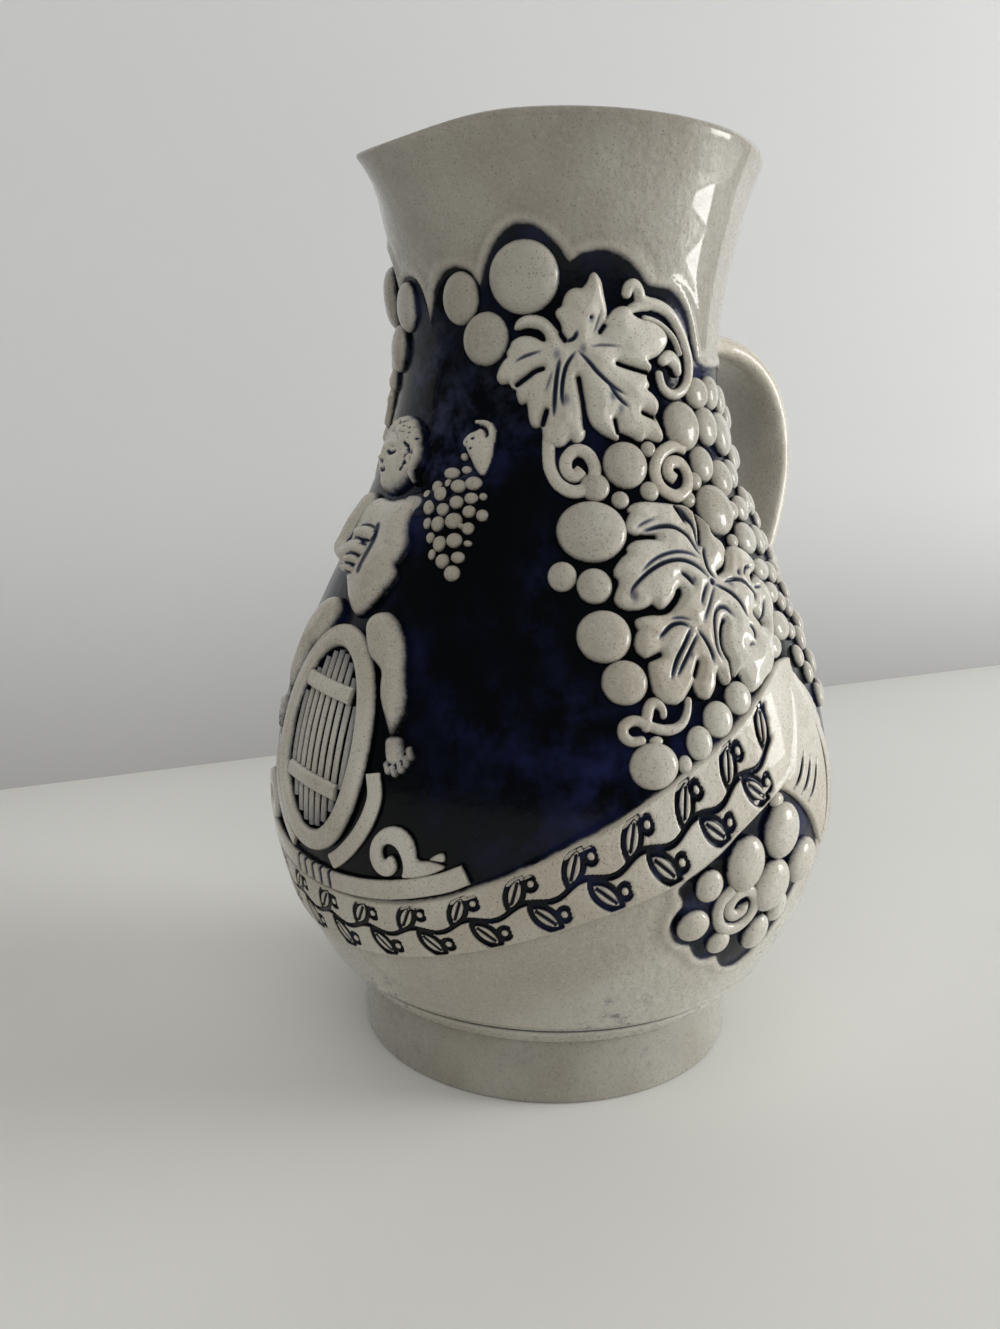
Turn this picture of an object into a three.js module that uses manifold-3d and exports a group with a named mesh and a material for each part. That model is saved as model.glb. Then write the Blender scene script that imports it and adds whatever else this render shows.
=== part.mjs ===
// A stoneware wine pitcher, salt-glazed grey with a cobalt ground, taken apart into its clay pieces: the wall,
// the foot with its floor, the pulled handle, and the relief sprigs that are pressed onto the wall.
// Millimetres, +Z up. The origin is under the middle of the foot, +X points to the pouring lip, -X to the handle.
// A place on the wall is an azimuth in degrees about +Z, counted from the lip, and a height.
// "Right" is the side of positive azimuth, and the left side mirrors it.
import * as THREE from "three";
import { mergeVertices } from "three/addons/utils/BufferGeometryUtils.js";
import Module from "manifold-3d";

const wasm = await Module();
wasm.setup();

// The thrown wall, from the foot to the rim.
const JUG_HEIGHT = 250;
const WALL = 5.5;
const BELLY_RADIUS = 81.5;
const BELLY_HEIGHT = 78;
const BELLY_DROP = 84;
const NECK_RADIUS = 44;
const NECK_HEIGHT = 203;
const RIM_RADIUS = 54.5;
const RIM_FLARE = 1.8;
const RIM_THICKNESS = 4;

// The pouring lip, pulled out of the rim and a little down.
const LIP_REACH = 9;
const LIP_DIP = 6;
const LIP_HALF_ANGLE = 20;
const LIP_SHARPNESS = 2.4;
const LIP_LENGTH = 36;

// The foot is a shallow cup. Its rim stands back from the wall, which leaves the groove above it.
const FOOT_HEIGHT = 20;
const FOOT_SETBACK = 2.4;
const FOOT_FLARE = 0.8;
const FOOT_WALL = 7;
const FOOT_RECESS = 1;
const FOOT_RING_WIDTH = 7;
const FLOOR_THICKNESS = 6;
const EDGE_ROUND = 1.2;
const JOINT_GAP = 0.3;

// The handle, a pulled strap.
const HANDLE_REACH = 98;
const HANDLE_TOP_HEIGHT = 203;
const HANDLE_WIDE_HEIGHT = 168;
const HANDLE_LOW_HEIGHT = 111;
const HANDLE_FULLNESS = 0.9;
const HANDLE_ARCH = 6.8;
const HANDLE_TUCK = 13.6;
const HANDLE_TUCK_SHARE = 0.6;
const HANDLE_THICKNESS = 8.5;
const HANDLE_WIDTH = 23;
const HANDLE_ROOT_WIDTH = 31;

// The relief is drawn in this unit. Over the second mark, on the neck, it stretches with the jug's height.
const DRAWING_UNIT = 1;
const DRAWN_MARKS = [0, 203, 250];
const WALL_MARKS = [0, DRAWN_MARKS[1] * DRAWING_UNIT, JUG_HEIGHT];

// The relief sprigs. Slip fills the gap under each one. A rise is how far a sprig stands out.
const SLIP_GAP = 0.3;
const PIECE_CLEARANCE = 0.5;
const SPRIG_EDGE_RISE = 0.9;
const GRAPE_DOME = 0.2;
const LEAF_GAP = 0.6;
const LEAF_RISE = 2.2;
const TENDRIL_WIDTH = 3.2;
const TENDRIL_TIP_WIDTH = 2.6;
const TENDRIL_RISE = 1.6;
const SCROLL_WIDTH = 2.8;
const SCROLL_TAIL_WIDTH = 4.2;
const STALK_WIDTH = 1.8;
const STALK_RISE = 0.8;
const STALK_HOLD = 1;
const SMALL_GRAPE = 6.5;
const LARGE_GRAPE = 12;
const BANNER_WIDTH = 16.5;
const BANNER_END_WIDTH = 21.5;
const BANNER_SPREAD = 0.75;
const BANNER_RISE = 1.2;
const FOLD_WIDTH = 11;
const TAIL_WIDTH = 11;
const TAIL_TIP_WIDTH = 8;
const HEAD_HALF_WIDTH = 9;
const HEAD_HALF_HEIGHT = 10.4;
const HEAD_RISE = 5.5;
const TORSO_RISE = 4;
const LIMB_RISE = 4.5;
const THIGH_WIDTH = 12;
const CALF_WIDTH = 8;
const ANKLE_WIDTH = 4;
const ANKLE_PLACE = 0.76;
const ANKLE_LENGTH = 0.1;
const FOOT_RISE = 3;
const ARM_WIDTH = 8.5;
const ARM_RISE = 5;
const HAND_WIDTH = 7;
const BUNCH_PITCH = 5;

// The cask that the figure rides, on the front of the wall.
const CASK_BOTTOM = 70.2;
const CASK_TOP = 128.8;
const CASK_HALF_WIDTH = 20.9;
const CASK_RIM_WIDTH = 6.2;
const CASK_RIM_RISE = 2.8;
const BOARD_RISE = 1.1;
const BOARD_GROOVE = 0.7;
const BOARD_COUNT = 9;
const BATTEN_OFFSET = 11.5;
const BATTEN_WIDTH = 4;
const BATTEN_RISE = 1;
const CRADLE_WIDTH = 4;
const CRADLE_RISE = 1.6;
const CRADLE_START = -8;
const CRADLE_END = -58;
const BASE_BOARD_WIDTH = 5;
const BASE_BOARD_RISE = 1.8;
const BASE_BOARD_HALF_ANGLE = 33;
const BASE_BOARD_DROP = 35.5;
const BASE_BOARD_SAG = 10;

// How finely round shapes are divided.
const ROUND = 48;
const BELLY_STEP = 14;
const NECK_STEP = 9;
const INNER_STEP = 24;
const SLOPE_STEP = 0.01;

const radians = THREE.MathUtils.degToRad;
const GREY_GLAZE = 0xc9c4b6;
const COBALT_GLAZE = 0x1c2347;
const BARE_FOOT = 0xb3ada3;

// The wall's outer radius at a height: an elliptic belly, a long drawn-in shoulder and a flared neck.
function wallRadius(height) {
  if (height < BELLY_HEIGHT) {
    const drop = (BELLY_HEIGHT - height) / BELLY_DROP;
    return BELLY_RADIUS * Math.sqrt(1 - drop * drop);
  }
  if (height < NECK_HEIGHT) {
    const share = (height - BELLY_HEIGHT) / (NECK_HEIGHT - BELLY_HEIGHT);
    return NECK_RADIUS + (BELLY_RADIUS - NECK_RADIUS) * (0.5 + 0.5 * Math.cos(Math.PI * share));
  }
  const share = (height - NECK_HEIGHT) / (JUG_HEIGHT - NECK_HEIGHT);
  return NECK_RADIUS + (RIM_RADIUS - NECK_RADIUS) * share ** RIM_FLARE;
}

// Pulls a point of the round neck out and down into the pouring lip, most at the rim and in the middle.
function withLip(point) {
  const azimuth = THREE.MathUtils.radToDeg(Math.atan2(point.y, point.x));
  const share = Math.max(0, (point.z - JUG_HEIGHT + LIP_LENGTH) / LIP_LENGTH) ** 2;
  const pull = share * Math.exp(-(Math.abs(azimuth / LIP_HALF_ANGLE) ** LIP_SHARPNESS));
  const outward = new THREE.Vector3(point.x, point.y, 0).normalize();
  const pulled = point.clone().addScaledVector(outward, LIP_REACH * pull);
  pulled.z -= LIP_DIP * pull;
  return pulled;
}

// A point over the wall, lifted off it along its normal.
function overWall(azimuth, height, lift) {
  const slope = (wallRadius(height + SLOPE_STEP) - wallRadius(height - SLOPE_STEP)) / (2 * SLOPE_STEP);
  const length = Math.hypot(1, slope);
  const reach = wallRadius(height) + lift / length;
  const angle = radians(azimuth);
  const level = height - (lift * slope) / length;
  return withLip(new THREE.Vector3(reach * Math.cos(angle), reach * Math.sin(angle), level));
}

// The degrees of azimuth that a length in millimetres takes round the wall at a height.
function degreesFor(length, height) {
  return THREE.MathUtils.radToDeg(length / wallRadius(height));
}

// A solid from points and triangles, turned the right way out.
function solidFrom(points, triangles) {
  let volume = 0;
  for (const [a, b, c] of triangles) {
    volume += points[a].dot(points[b].clone().cross(points[c]));
  }
  const faces = volume > 0 ? triangles : triangles.map(([a, b, c]) => [a, c, b]);
  const vertProperties = new Float32Array(points.flatMap((point) => point.toArray()));
  const triVerts = new Uint32Array(faces.flat());
  return new wasm.Manifold(new wasm.Mesh({ numProp: 3, vertProperties, triVerts }));
}

// A solid from a three.js geometry that is closed once its shared corners are merged.
function solidFromGeometry(geometry) {
  geometry.deleteAttribute("normal");
  geometry.deleteAttribute("uv");
  const merged = mergeVertices(geometry, 1e-4);
  const position = merged.getAttribute("position");
  const points = [];
  for (let index = 0; index < position.count; index++) {
    points.push(new THREE.Vector3().fromBufferAttribute(position, index));
  }
  const triangles = [];
  for (let index = 0; index < merged.index.count; index += 3) {
    const corners = [0, 1, 2].map((corner) => merged.index.getX(index + corner));
    if (new Set(corners).size === 3) {
      triangles.push(corners);
    }
  }
  return solidFrom(points, triangles);
}

// A closed skin over rows of points. Every row is a loop with as many points, or one point, which is a pole.
// An open run of loops is closed at its ends by a ladder from the loop's first half to its second.
function skin(rows, isRing) {
  const points = rows.flat();
  const starts = rows.map((row, index) => rows.slice(0, index).reduce((sum, earlier) => sum + earlier.length, 0));
  const count = Math.max(...rows.map((row) => row.length));
  const corner = (row, column) => starts[row] + (rows[row].length === 1 ? 0 : column % count);
  const triangles = [];
  const addQuad = (a, b, c, d) => {
    if (a !== b) {
      triangles.push([a, b, c]);
    }
    if (c !== d) {
      triangles.push([a, c, d]);
    }
  };
  const bands = isRing ? rows.length : rows.length - 1;
  for (let row = 0; row < bands; row++) {
    const next = (row + 1) % rows.length;
    for (let column = 0; column < count; column++) {
      addQuad(corner(row, column), corner(row, column + 1), corner(next, column + 1), corner(next, column));
    }
  }
  const lastRow = rows.length - 1;
  for (let column = 0; column < count / 2 - 1 && !isRing && rows[0].length > 1; column++) {
    const across = count - 1 - column;
    addQuad(corner(0, column + 1), corner(0, column), corner(0, across), corner(0, across - 1));
    addQuad(corner(lastRow, column), corner(lastRow, column + 1), corner(lastRow, across - 1), corner(lastRow, across));
  }
  return solidFrom(points, triangles);
}

// What a form keeps free for its neighbours reaches from under the wall's skin to well over the relief.
const KEEP_OUT_LOW = -2;
const KEEP_OUT_HIGH = 9;

// A domed patch round a middle. The outline is a list of places, and the rings follow it at shares of its reach.
function patch(middle, outline, rise, rings, { underRings = rings, base = SLIP_GAP } = {}) {
  const grown = (share, grow) =>
    outline.map(([azimuth, height]) => {
      const across = azimuth - middle[0];
      const up = height - middle[1];
      const size = Math.hypot(radians(across) * wallRadius(height), up);
      const reach = share + grow / size;
      return [middle[0] + across * reach, middle[1] + up * reach];
    });
  const ring = (share, lift, grow) =>
    grown(share, grow).map(([azimuth, height]) => overWall(azimuth, height, lift));
  return {
    build: () => {
      const under = underRings.map((share) => ring(share, base, 0));
      const over = rings.map((share) => {
        const dome = SPRIG_EDGE_RISE + (rise - SPRIG_EDGE_RISE) * Math.sqrt(1 - share * share);
        return ring(share, base + dome, 0);
      });
      const edges = [ring(1, base, 0), ring(1, base + Math.min(SPRIG_EDGE_RISE, rise), 0)];
      const bottom = [overWall(middle[0], middle[1], base)];
      const top = [overWall(middle[0], middle[1], base + rise)];
      return skin([bottom, ...under, ...edges, ...over.reverse(), top], false);
    },
    keepOut: () => {
      const low = ring(1, KEEP_OUT_LOW, PIECE_CLEARANCE);
      const high = ring(1, KEEP_OUT_HIGH, PIECE_CLEARANCE);
      const poles = [KEEP_OUT_LOW, KEEP_OUT_HIGH].map((lift) => [overWall(middle[0], middle[1], lift)]);
      return skin([poles[0], low, high, poles[1]], false);
    },
  };
}

// A strip along a path of places, with its width and rise as functions of the share of the way along it.
function strip(path, steps, width, rise, { isRing = false, columns = 3, edgeShare = 0.4, base = SLIP_GAP } = {}) {
  const curve = new THREE.CatmullRomCurve3(path.map(([a, h]) => new THREE.Vector3(a, h, 0)), isRing, "centripetal");
  const shares = Array.from({ length: isRing ? steps : steps + 1 }, (_, index) => index / steps);
  const rows = (lows, highs, grow) =>
    shares.map((share) => {
      const place = curve.getPoint(share);
      const heading = curve.getTangent(share);
      const perDegree = radians(1) * wallRadius(place.y);
      const forward = new THREE.Vector2(heading.x * perDegree, heading.y).normalize();
      const half = width(share) / 2 + grow;
      const slipAlong = share === 0 ? -grow : share === 1 ? grow : 0;
      const along = isRing ? 0 : slipAlong;
      const at = (column, lift) => {
        const across = half * ((2 * column) / (columns - 1) - 1);
        const azimuth = place.x + (-forward.y * across + forward.x * along) / perDegree;
        const height = place.y + forward.x * across + forward.y * along;
        return overWall(azimuth, height, lift);
      };
      const order = Array.from({ length: columns }, (_, column) => column);
      const top = order.map((column) => at(column, highs(share, (2 * column) / (columns - 1) - 1)));
      const bottom = order.map((column) => at(column, lows)).reverse();
      return [...top, ...bottom];
    });
  const crown = (share, across) => {
    const dome = edgeShare + (1 - edgeShare) * Math.sqrt(1 - Math.min(1, across * across));
    return base + rise(share) * dome;
  };
  return {
    build: () => skin(rows(base, crown, 0), isRing),
    keepOut: () => skin(rows(KEEP_OUT_LOW, () => KEEP_OUT_HIGH, PIECE_CLEARANCE), isRing),
  };
}

// A place list round a middle, as an ellipse in millimetres. Angles start on the side of positive azimuth.
function ellipse(middle, halfWidth, halfHeight, count, from = 0, to = 360) {
  const isWhole = to - from === 360;
  return Array.from({ length: count }, (_, index) => {
    const angle = radians(from + ((to - from) * index) / (isWhole ? count : count - 1));
    const height = middle[1] + halfHeight * Math.sin(angle);
    return [middle[0] + degreesFor(halfWidth * Math.cos(angle), height), height];
  });
}

// A place list that winds in from an outer radius to an inner one.
function spiral(middle, outer, inner, fromAngle, turns, count = 12) {
  return Array.from({ length: count }, (_, index) => {
    const share = index / (count - 1);
    const radius = outer + (inner - outer) * share;
    const angle = radians(fromAngle + 360 * turns * share);
    const height = middle[1] + radius * Math.sin(angle);
    return [middle[0] + degreesFor(radius * Math.cos(angle), middle[1]), height];
  });
}

// One grape, an oval dome.
function grape([azimuth, height, width, tall = width]) {
  const isSmall = width < SMALL_GRAPE;
  const sides = isSmall ? 6 : width < LARGE_GRAPE ? 8 : 10;
  const rise = SPRIG_EDGE_RISE + GRAPE_DOME * Math.min(width, tall);
  const outline = ellipse([azimuth, height], width / 2, tall / 2, sides);
  return patch([azimuth, height], outline, rise, isSmall ? [] : [0.65], { underRings: [] });
}

// The short stalk that joins two grapes, from just inside the one to just inside the other, a little off the wall.
const STALK_FORM = { columns: 2, edgeShare: 1, base: 2 * SLIP_GAP };
function stalk(from, to) {
  const perDegree = radians(1) * wallRadius((from[1] + to[1]) / 2);
  const span = Math.hypot((to[0] - from[0]) * perDegree, to[1] - from[1]);
  const inset = ([, , width, tall = width]) => Math.max(0, Math.min(width, tall) / 2 - STALK_HOLD) / span;
  const at = (share) => [from[0] + (to[0] - from[0]) * share, from[1] + (to[1] - from[1]) * share];
  return strip([at(inset(from)), at(1 - inset(to))], 1, () => STALK_WIDTH, () => STALK_RISE, STALK_FORM);
}

// Grapes that hang together, each on a stalk from the grape that is named for it, or from the one before it.
function cluster(grapes, hangsFrom = {}) {
  const stalks = grapes.slice(1).map((fruit, index) => stalk(grapes[hangsFrom[index + 1] ?? index], fruit));
  return [...grapes.map(grape), ...stalks];
}

const taper = (start, end) => (share) => start + (end - start) * share;
const swell = (ends, middle) => (share) => ends + (middle - ends) * Math.sin(Math.PI * share);
const always = (value) => () => value;

// The wall's own height for a height in the drawing.
function heightFor(height) {
  const part = DRAWN_MARKS.slice(1, -1).filter((mark) => mark <= height).length;
  const share = (height - DRAWN_MARKS[part]) / (DRAWN_MARKS[part + 1] - DRAWN_MARKS[part]);
  return WALL_MARKS[part] + (WALL_MARKS[part + 1] - WALL_MARKS[part]) * share;
}

// Drawn places have an azimuth, a height and perhaps sizes. The left side mirrors them.
const drawn = (places, side = 1) =>
  places.map(([azimuth, height, ...sizes]) => [
    side * azimuth,
    heightFor(height),
    ...sizes.map((size) => size * DRAWING_UNIT),
  ]);
const mirrored = (places, side) => places.map(([azimuth, height]) => [side * azimuth, height]);

const pitcher = new THREE.Group();
const kept = [];

// Adds a piece to the pitcher as a mesh of its own.
function addPiece(name, solid, color, roughness = 0.35) {
  const mesh = solid.getMesh();
  const geometry = new THREE.BufferGeometry();
  geometry.setAttribute("position", new THREE.BufferAttribute(new Float32Array(mesh.vertProperties), 3));
  geometry.setIndex(new THREE.BufferAttribute(new Uint32Array(mesh.triVerts), 1));
  geometry.computeVertexNormals();
  const material = new THREE.MeshStandardMaterial({ color, roughness, metalness: 0 });
  const piece = new THREE.Mesh(geometry, material);
  piece.name = name;
  pitcher.add(piece);
}

// Adds a sprig, trimmed where it would lie on the ones that are already in place.
const trimmed = (solid) => kept.reduce((rest, neighbour) => rest.subtract(neighbour), solid);
const joined = (solids) => solids.reduce((whole, next) => whole.add(next));
function addSprig(name, forms) {
  addPiece(name, trimmed(joined(forms.map((form) => form.build()))), GREY_GLAZE);
  kept.push(joined(forms.map((form) => form.keepOut())));
}

// The wall: its profile goes up the outside, over the rounded rim, and down the inside to the foot's top.
const wallStart = FOOT_HEIGHT + JOINT_GAP;
const rimBow = RIM_THICKNESS / 2;
const rimStart = JUG_HEIGHT - rimBow;
const hollowStart = (BELLY_HEIGHT + NECK_HEIGHT) / 2;
const spaced = (low, high, step) => {
  const count = Math.round((high - low) / step);
  return Array.from({ length: count }, (_, index) => low + ((high - low) * index) / count);
};
const outerHeights = [
  ...spaced(wallStart, hollowStart, BELLY_STEP),
  ...spaced(hollowStart, rimStart, NECK_STEP),
  rimStart,
];
const innerHeights = [...spaced(wallStart, rimStart, INNER_STEP), rimStart].reverse();
const wallThickness = (height) => {
  const share = THREE.MathUtils.clamp((height - NECK_HEIGHT) / (rimStart - NECK_HEIGHT), 0, 1);
  return WALL + (RIM_THICKNESS - WALL) * share;
};
const wallProfile = outerHeights.map((height) => new THREE.Vector2(wallRadius(height), height));
for (const angle of [45, 90, 135]) {
  const middle = wallRadius(rimStart) - rimBow;
  const reach = new THREE.Vector2(Math.cos(radians(angle)), Math.sin(radians(angle))).multiplyScalar(rimBow);
  wallProfile.push(new THREE.Vector2(middle + reach.x, rimStart + reach.y));
}
for (const height of innerHeights) {
  wallProfile.push(new THREE.Vector2(wallRadius(height) - wallThickness(height), height));
}
wallProfile.push(wallProfile[0].clone());
const wallGeometry = new THREE.LatheGeometry(wallProfile, ROUND).rotateX(Math.PI / 2);

// The lip is pulled out of the lathe's round rim.
const wallPosition = wallGeometry.getAttribute("position");
for (let index = 0; index < wallPosition.count; index++) {
  const point = withLip(new THREE.Vector3().fromBufferAttribute(wallPosition, index));
  wallPosition.setXYZ(index, point.x, point.y, point.z);
}
addPiece("jug_wall", solidFromGeometry(wallGeometry), COBALT_GLAZE, 0.2);

// The foot: a cup with a shallow recess underneath, so that it stands on a ring and its floor is sound to the middle.
const footTop = wallRadius(wallStart) - FOOT_SETBACK;
const footBottom = footTop - FOOT_FLARE;
const recessEdge = footBottom - FOOT_RING_WIDTH;
const floorTop = FOOT_RECESS + FLOOR_THICKNESS;
const footProfile = [
  [0, FOOT_RECESS],
  [recessEdge - FOOT_RECESS, FOOT_RECESS],
  [recessEdge, 0],
  [footBottom - EDGE_ROUND, 0],
  [footBottom, EDGE_ROUND],
  [footTop, FOOT_HEIGHT - EDGE_ROUND],
  [footTop - EDGE_ROUND, FOOT_HEIGHT],
  [footTop - FOOT_WALL, FOOT_HEIGHT],
  [footBottom - FOOT_WALL, floorTop + EDGE_ROUND],
  [footBottom - FOOT_WALL - EDGE_ROUND, floorTop],
  [0, floorTop],
].map(([radius, height]) => new THREE.Vector2(radius, height));
const footGeometry = new THREE.LatheGeometry(footProfile, ROUND).rotateX(Math.PI / 2);
addPiece("foot", solidFromGeometry(footGeometry), BARE_FOOT, 0.55);

// The handle: a strap along two curves, with its ends trimmed to the wall.
const handleTop = new THREE.Vector2(wallRadius(HANDLE_TOP_HEIGHT) - WALL, HANDLE_TOP_HEIGHT);
const handleWide = new THREE.Vector2(HANDLE_REACH - HANDLE_THICKNESS / 2, HANDLE_WIDE_HEIGHT);
const handleLow = new THREE.Vector2(wallRadius(HANDLE_LOW_HEIGHT) - WALL, HANDLE_LOW_HEIGHT);
const handlePull = (HANDLE_TOP_HEIGHT - HANDLE_WIDE_HEIGHT) * HANDLE_FULLNESS;
const handleCurves = [
  new THREE.CubicBezierCurve(
    handleTop,
    new THREE.Vector2((handleTop.x + handleWide.x) / 2, HANDLE_TOP_HEIGHT + HANDLE_ARCH),
    new THREE.Vector2(handleWide.x, HANDLE_WIDE_HEIGHT + handlePull),
    handleWide,
  ),
  new THREE.CubicBezierCurve(
    handleWide,
    new THREE.Vector2(handleWide.x, HANDLE_WIDE_HEIGHT - handlePull / 2),
    new THREE.Vector2(handleLow.x + HANDLE_TUCK, HANDLE_LOW_HEIGHT + handlePull * HANDLE_TUCK_SHARE),
    handleLow,
  ),
];
const HANDLE_STEPS = 9;
const HANDLE_SIDES = 12;
const HANDLE_SQUARENESS = 0.7;
const handleRows = handleCurves.flatMap((curve, part) =>
  Array.from({ length: HANDLE_STEPS }, (_, index) => {
    const share = index / (part === 0 ? HANDLE_STEPS : HANDLE_STEPS - 1);
    const middle = curve.getPoint(share);
    const along = curve.getTangent(share);
    const whole = (part + share) / 2;
    const root = Math.abs(2 * whole - 1) ** 3;
    const halfWidth = (HANDLE_WIDTH + (HANDLE_ROOT_WIDTH - HANDLE_WIDTH) * root) / 2;
    return Array.from({ length: HANDLE_SIDES }, (_, side) => {
      const angle = (2 * Math.PI * side) / HANDLE_SIDES;
      const bow = (value) => Math.sign(value) * Math.abs(value) ** HANDLE_SQUARENESS;
      const out = (bow(Math.sin(angle)) * HANDLE_THICKNESS) / 2;
      const across = bow(Math.cos(angle)) * halfWidth;
      return new THREE.Vector3(-(middle.x - along.y * out), across, middle.y + along.x * out);
    });
  }),
);
const middleOf = (row) => [row.reduce((sum, point) => sum.add(point), new THREE.Vector3()).divideScalar(row.length)];
const handleStrap = skin([middleOf(handleRows[0]), ...handleRows, middleOf(handleRows.at(-1))], false);
const trimProfile = [
  new THREE.Vector2(0, wallStart),
  ...outerHeights.map((height) => new THREE.Vector2(wallRadius(height) + JOINT_GAP, height)),
  new THREE.Vector2(0, rimStart),
];
const wallTrim = solidFromGeometry(new THREE.LatheGeometry(trimProfile, ROUND).rotateX(Math.PI / 2));
addPiece("handle", handleStrap.subtract(wallTrim), GREY_GLAZE);

// The figure: a plump boy of common ornament, astride the cask, holding up a bunch of grapes.
const ARM_FOLDED = [[-11, 158], [-14.5, 150], [-12, 143.5], [-4, 144.5]];
const ARM_RAISED = [[8, 160], [15, 163.5], [23, 166], [28.6, 170], [27, 177]];
const LEG = [[9.5, 130.5], [14, 127], [17.5, 120], [18.8, 111], [20, 104.5], [21.5, 98]];
const HEAD_MIDDLE = [[-3.3, 171.8]];
const [headMiddle] = drawn(HEAD_MIDDLE);
const armWidth = ARM_WIDTH * DRAWING_UNIT;
const handWidth = HAND_WIDTH * DRAWING_UNIT;
addSprig("figure_arm_folded", [strip(drawn(ARM_FOLDED), 7, taper(armWidth, handWidth), always(ARM_RISE))]);
addSprig("figure_head", [
  patch(
    headMiddle,
    ellipse(headMiddle, HEAD_HALF_WIDTH * DRAWING_UNIT, HEAD_HALF_HEIGHT * DRAWING_UNIT, 14),
    HEAD_RISE,
    [0.5, 0.85],
  ),
]);
addSprig("figure_arm_raised", [strip(drawn(ARM_RAISED), 8, taper(handWidth, armWidth), always(ARM_RISE))]);
for (const [side, sideName] of [[1, "right"], [-1, "left"]]) {
  const girth = (share) => {
    const ankle = Math.exp(-(((share - ANKLE_PLACE) / ANKLE_LENGTH) ** 2));
    return DRAWING_UNIT * (THIGH_WIDTH + (CALF_WIDTH - THIGH_WIDTH) * share - (CALF_WIDTH - ANKLE_WIDTH) * ankle);
  };
  addSprig(`figure_leg_${sideName}`, [strip(drawn(LEG, side), 12, girth, taper(LIMB_RISE, FOOT_RISE), { columns: 5 })]);
}

// The bunch in the raised hand narrows downwards, row by row.
const BUNCH_TOP = [[20.5, 159]];
const BUNCH_LEAN = 1;
const [bunchTop] = drawn(BUNCH_TOP);
const bunchPitch = BUNCH_PITCH * DRAWING_UNIT;
const bunch = [];
const bunchLinks = {};
const BUNCH_ROWS = [4, 4, 3, 2];
BUNCH_ROWS.forEach((count, row) => {
  const rowStart = bunch.length;
  for (let index = 0; index < count; index++) {
    bunchLinks[bunch.length] = index === 0 ? Math.max(0, rowStart - 1) : bunch.length - 1;
    const height = bunchTop[1] - row * bunchPitch;
    const across = (index - (count - 1) / 2) * bunchPitch;
    bunch.push([bunchTop[0] + row * BUNCH_LEAN + degreesFor(across, height), height, bunchPitch - PIECE_CLEARANCE]);
  }
});
addSprig("figure_grape_bunch", cluster(bunch, bunchLinks));
const TORSO_MIDDLE = [[0, 146]];
const TORSO = [
  [-13, 157], [-6, 158.5], [1, 158.5], [6, 160.5], [10.5, 160], [10.8, 152], [10.5, 142], [7, 134], [2.5, 131],
  [-4, 135], [-9, 140], [-12, 148],
];
addSprig("figure_torso", [patch(...drawn(TORSO_MIDDLE), drawn(TORSO), TORSO_RISE, [0.4, 0.75])]);

// The cask: an oval rim round boards with two battens across them, in a cradle on a curved base board.
const caskHeight = (heightFor(CASK_TOP) + heightFor(CASK_BOTTOM)) / 2;
const caskHalfHeight = (heightFor(CASK_TOP) - heightFor(CASK_BOTTOM)) / 2;
const caskMiddle = [0, caskHeight];
const rimHalfWidth = CASK_HALF_WIDTH - CASK_RIM_WIDTH / 2;
const rimHalfHeight = caskHalfHeight - CASK_RIM_WIDTH / 2;
const CASK_SIDES = 24;
addSprig("cask_rim", [
  strip(
    ellipse(caskMiddle, rimHalfWidth, rimHalfHeight, CASK_SIDES),
    CASK_SIDES,
    always(CASK_RIM_WIDTH),
    always(CASK_RIM_RISE),
    { isRing: true },
  ),
]);
const boardHalfWidth = CASK_HALF_WIDTH - CASK_RIM_WIDTH - PIECE_CLEARANCE;
const boardHalfHeight = caskHalfHeight - CASK_RIM_WIDTH - PIECE_CLEARANCE;
const boardOutline = ellipse(caskMiddle, boardHalfWidth, boardHalfHeight, CASK_SIDES);
let boards = patch(caskMiddle, boardOutline, BOARD_RISE, [0.5]).build();
for (let index = 1; index < BOARD_COUNT; index++) {
  const across = boardHalfWidth * ((2 * index) / BOARD_COUNT - 1);
  const azimuth = degreesFor(across, caskHeight);
  const ends = [caskHeight - caskHalfHeight, caskHeight + caskHalfHeight];
  const cutBase = SLIP_GAP + BOARD_RISE / 2;
  const groove = strip(ends.map((height) => [azimuth, height]), 4, always(BOARD_GROOVE), always(BOARD_RISE), {
    columns: 2,
    edgeShare: 1,
    base: cutBase,
  });
  boards = boards.subtract(groove.build());
}
addPiece("cask_boards", boards, GREY_GLAZE);
for (const [offset, place] of [[BATTEN_OFFSET, "upper"], [-BATTEN_OFFSET, "lower"]]) {
  const height = caskHeight + offset;
  const halfLength = boardHalfWidth * Math.sqrt(1 - (offset / boardHalfHeight) ** 2) - BATTEN_WIDTH / 4;
  const reach = degreesFor(halfLength, height);
  const bottom = SLIP_GAP + BOARD_RISE + SLIP_GAP;
  const path = [-reach, 0, reach].map((azimuth) => [azimuth, height]);
  const batten = strip(path, 4, always(BATTEN_WIDTH), always(BATTEN_RISE), { edgeShare: 0.7, base: bottom });
  addPiece(`cask_batten_${place}`, batten.build(), GREY_GLAZE);
}
for (const [side, sideName] of [[1, "right"], [-1, "left"]]) {
  const reach = CRADLE_WIDTH / 2 + 2 * PIECE_CLEARANCE;
  const path = ellipse(caskMiddle, CASK_HALF_WIDTH + reach, caskHalfHeight + reach, 8, CRADLE_END, CRADLE_START);
  addSprig(`cask_cradle_${sideName}`, [
    strip(mirrored(path, side), 8, always(CRADLE_WIDTH), always(CRADLE_RISE), { edgeShare: 0.7 }),
  ]);
}
const basePath = [-1, -0.5, 0, 0.5, 1].map((share) => [
  share * BASE_BOARD_HALF_ANGLE,
  caskHeight - BASE_BOARD_DROP + BASE_BOARD_SAG * share * share,
]);
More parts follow.
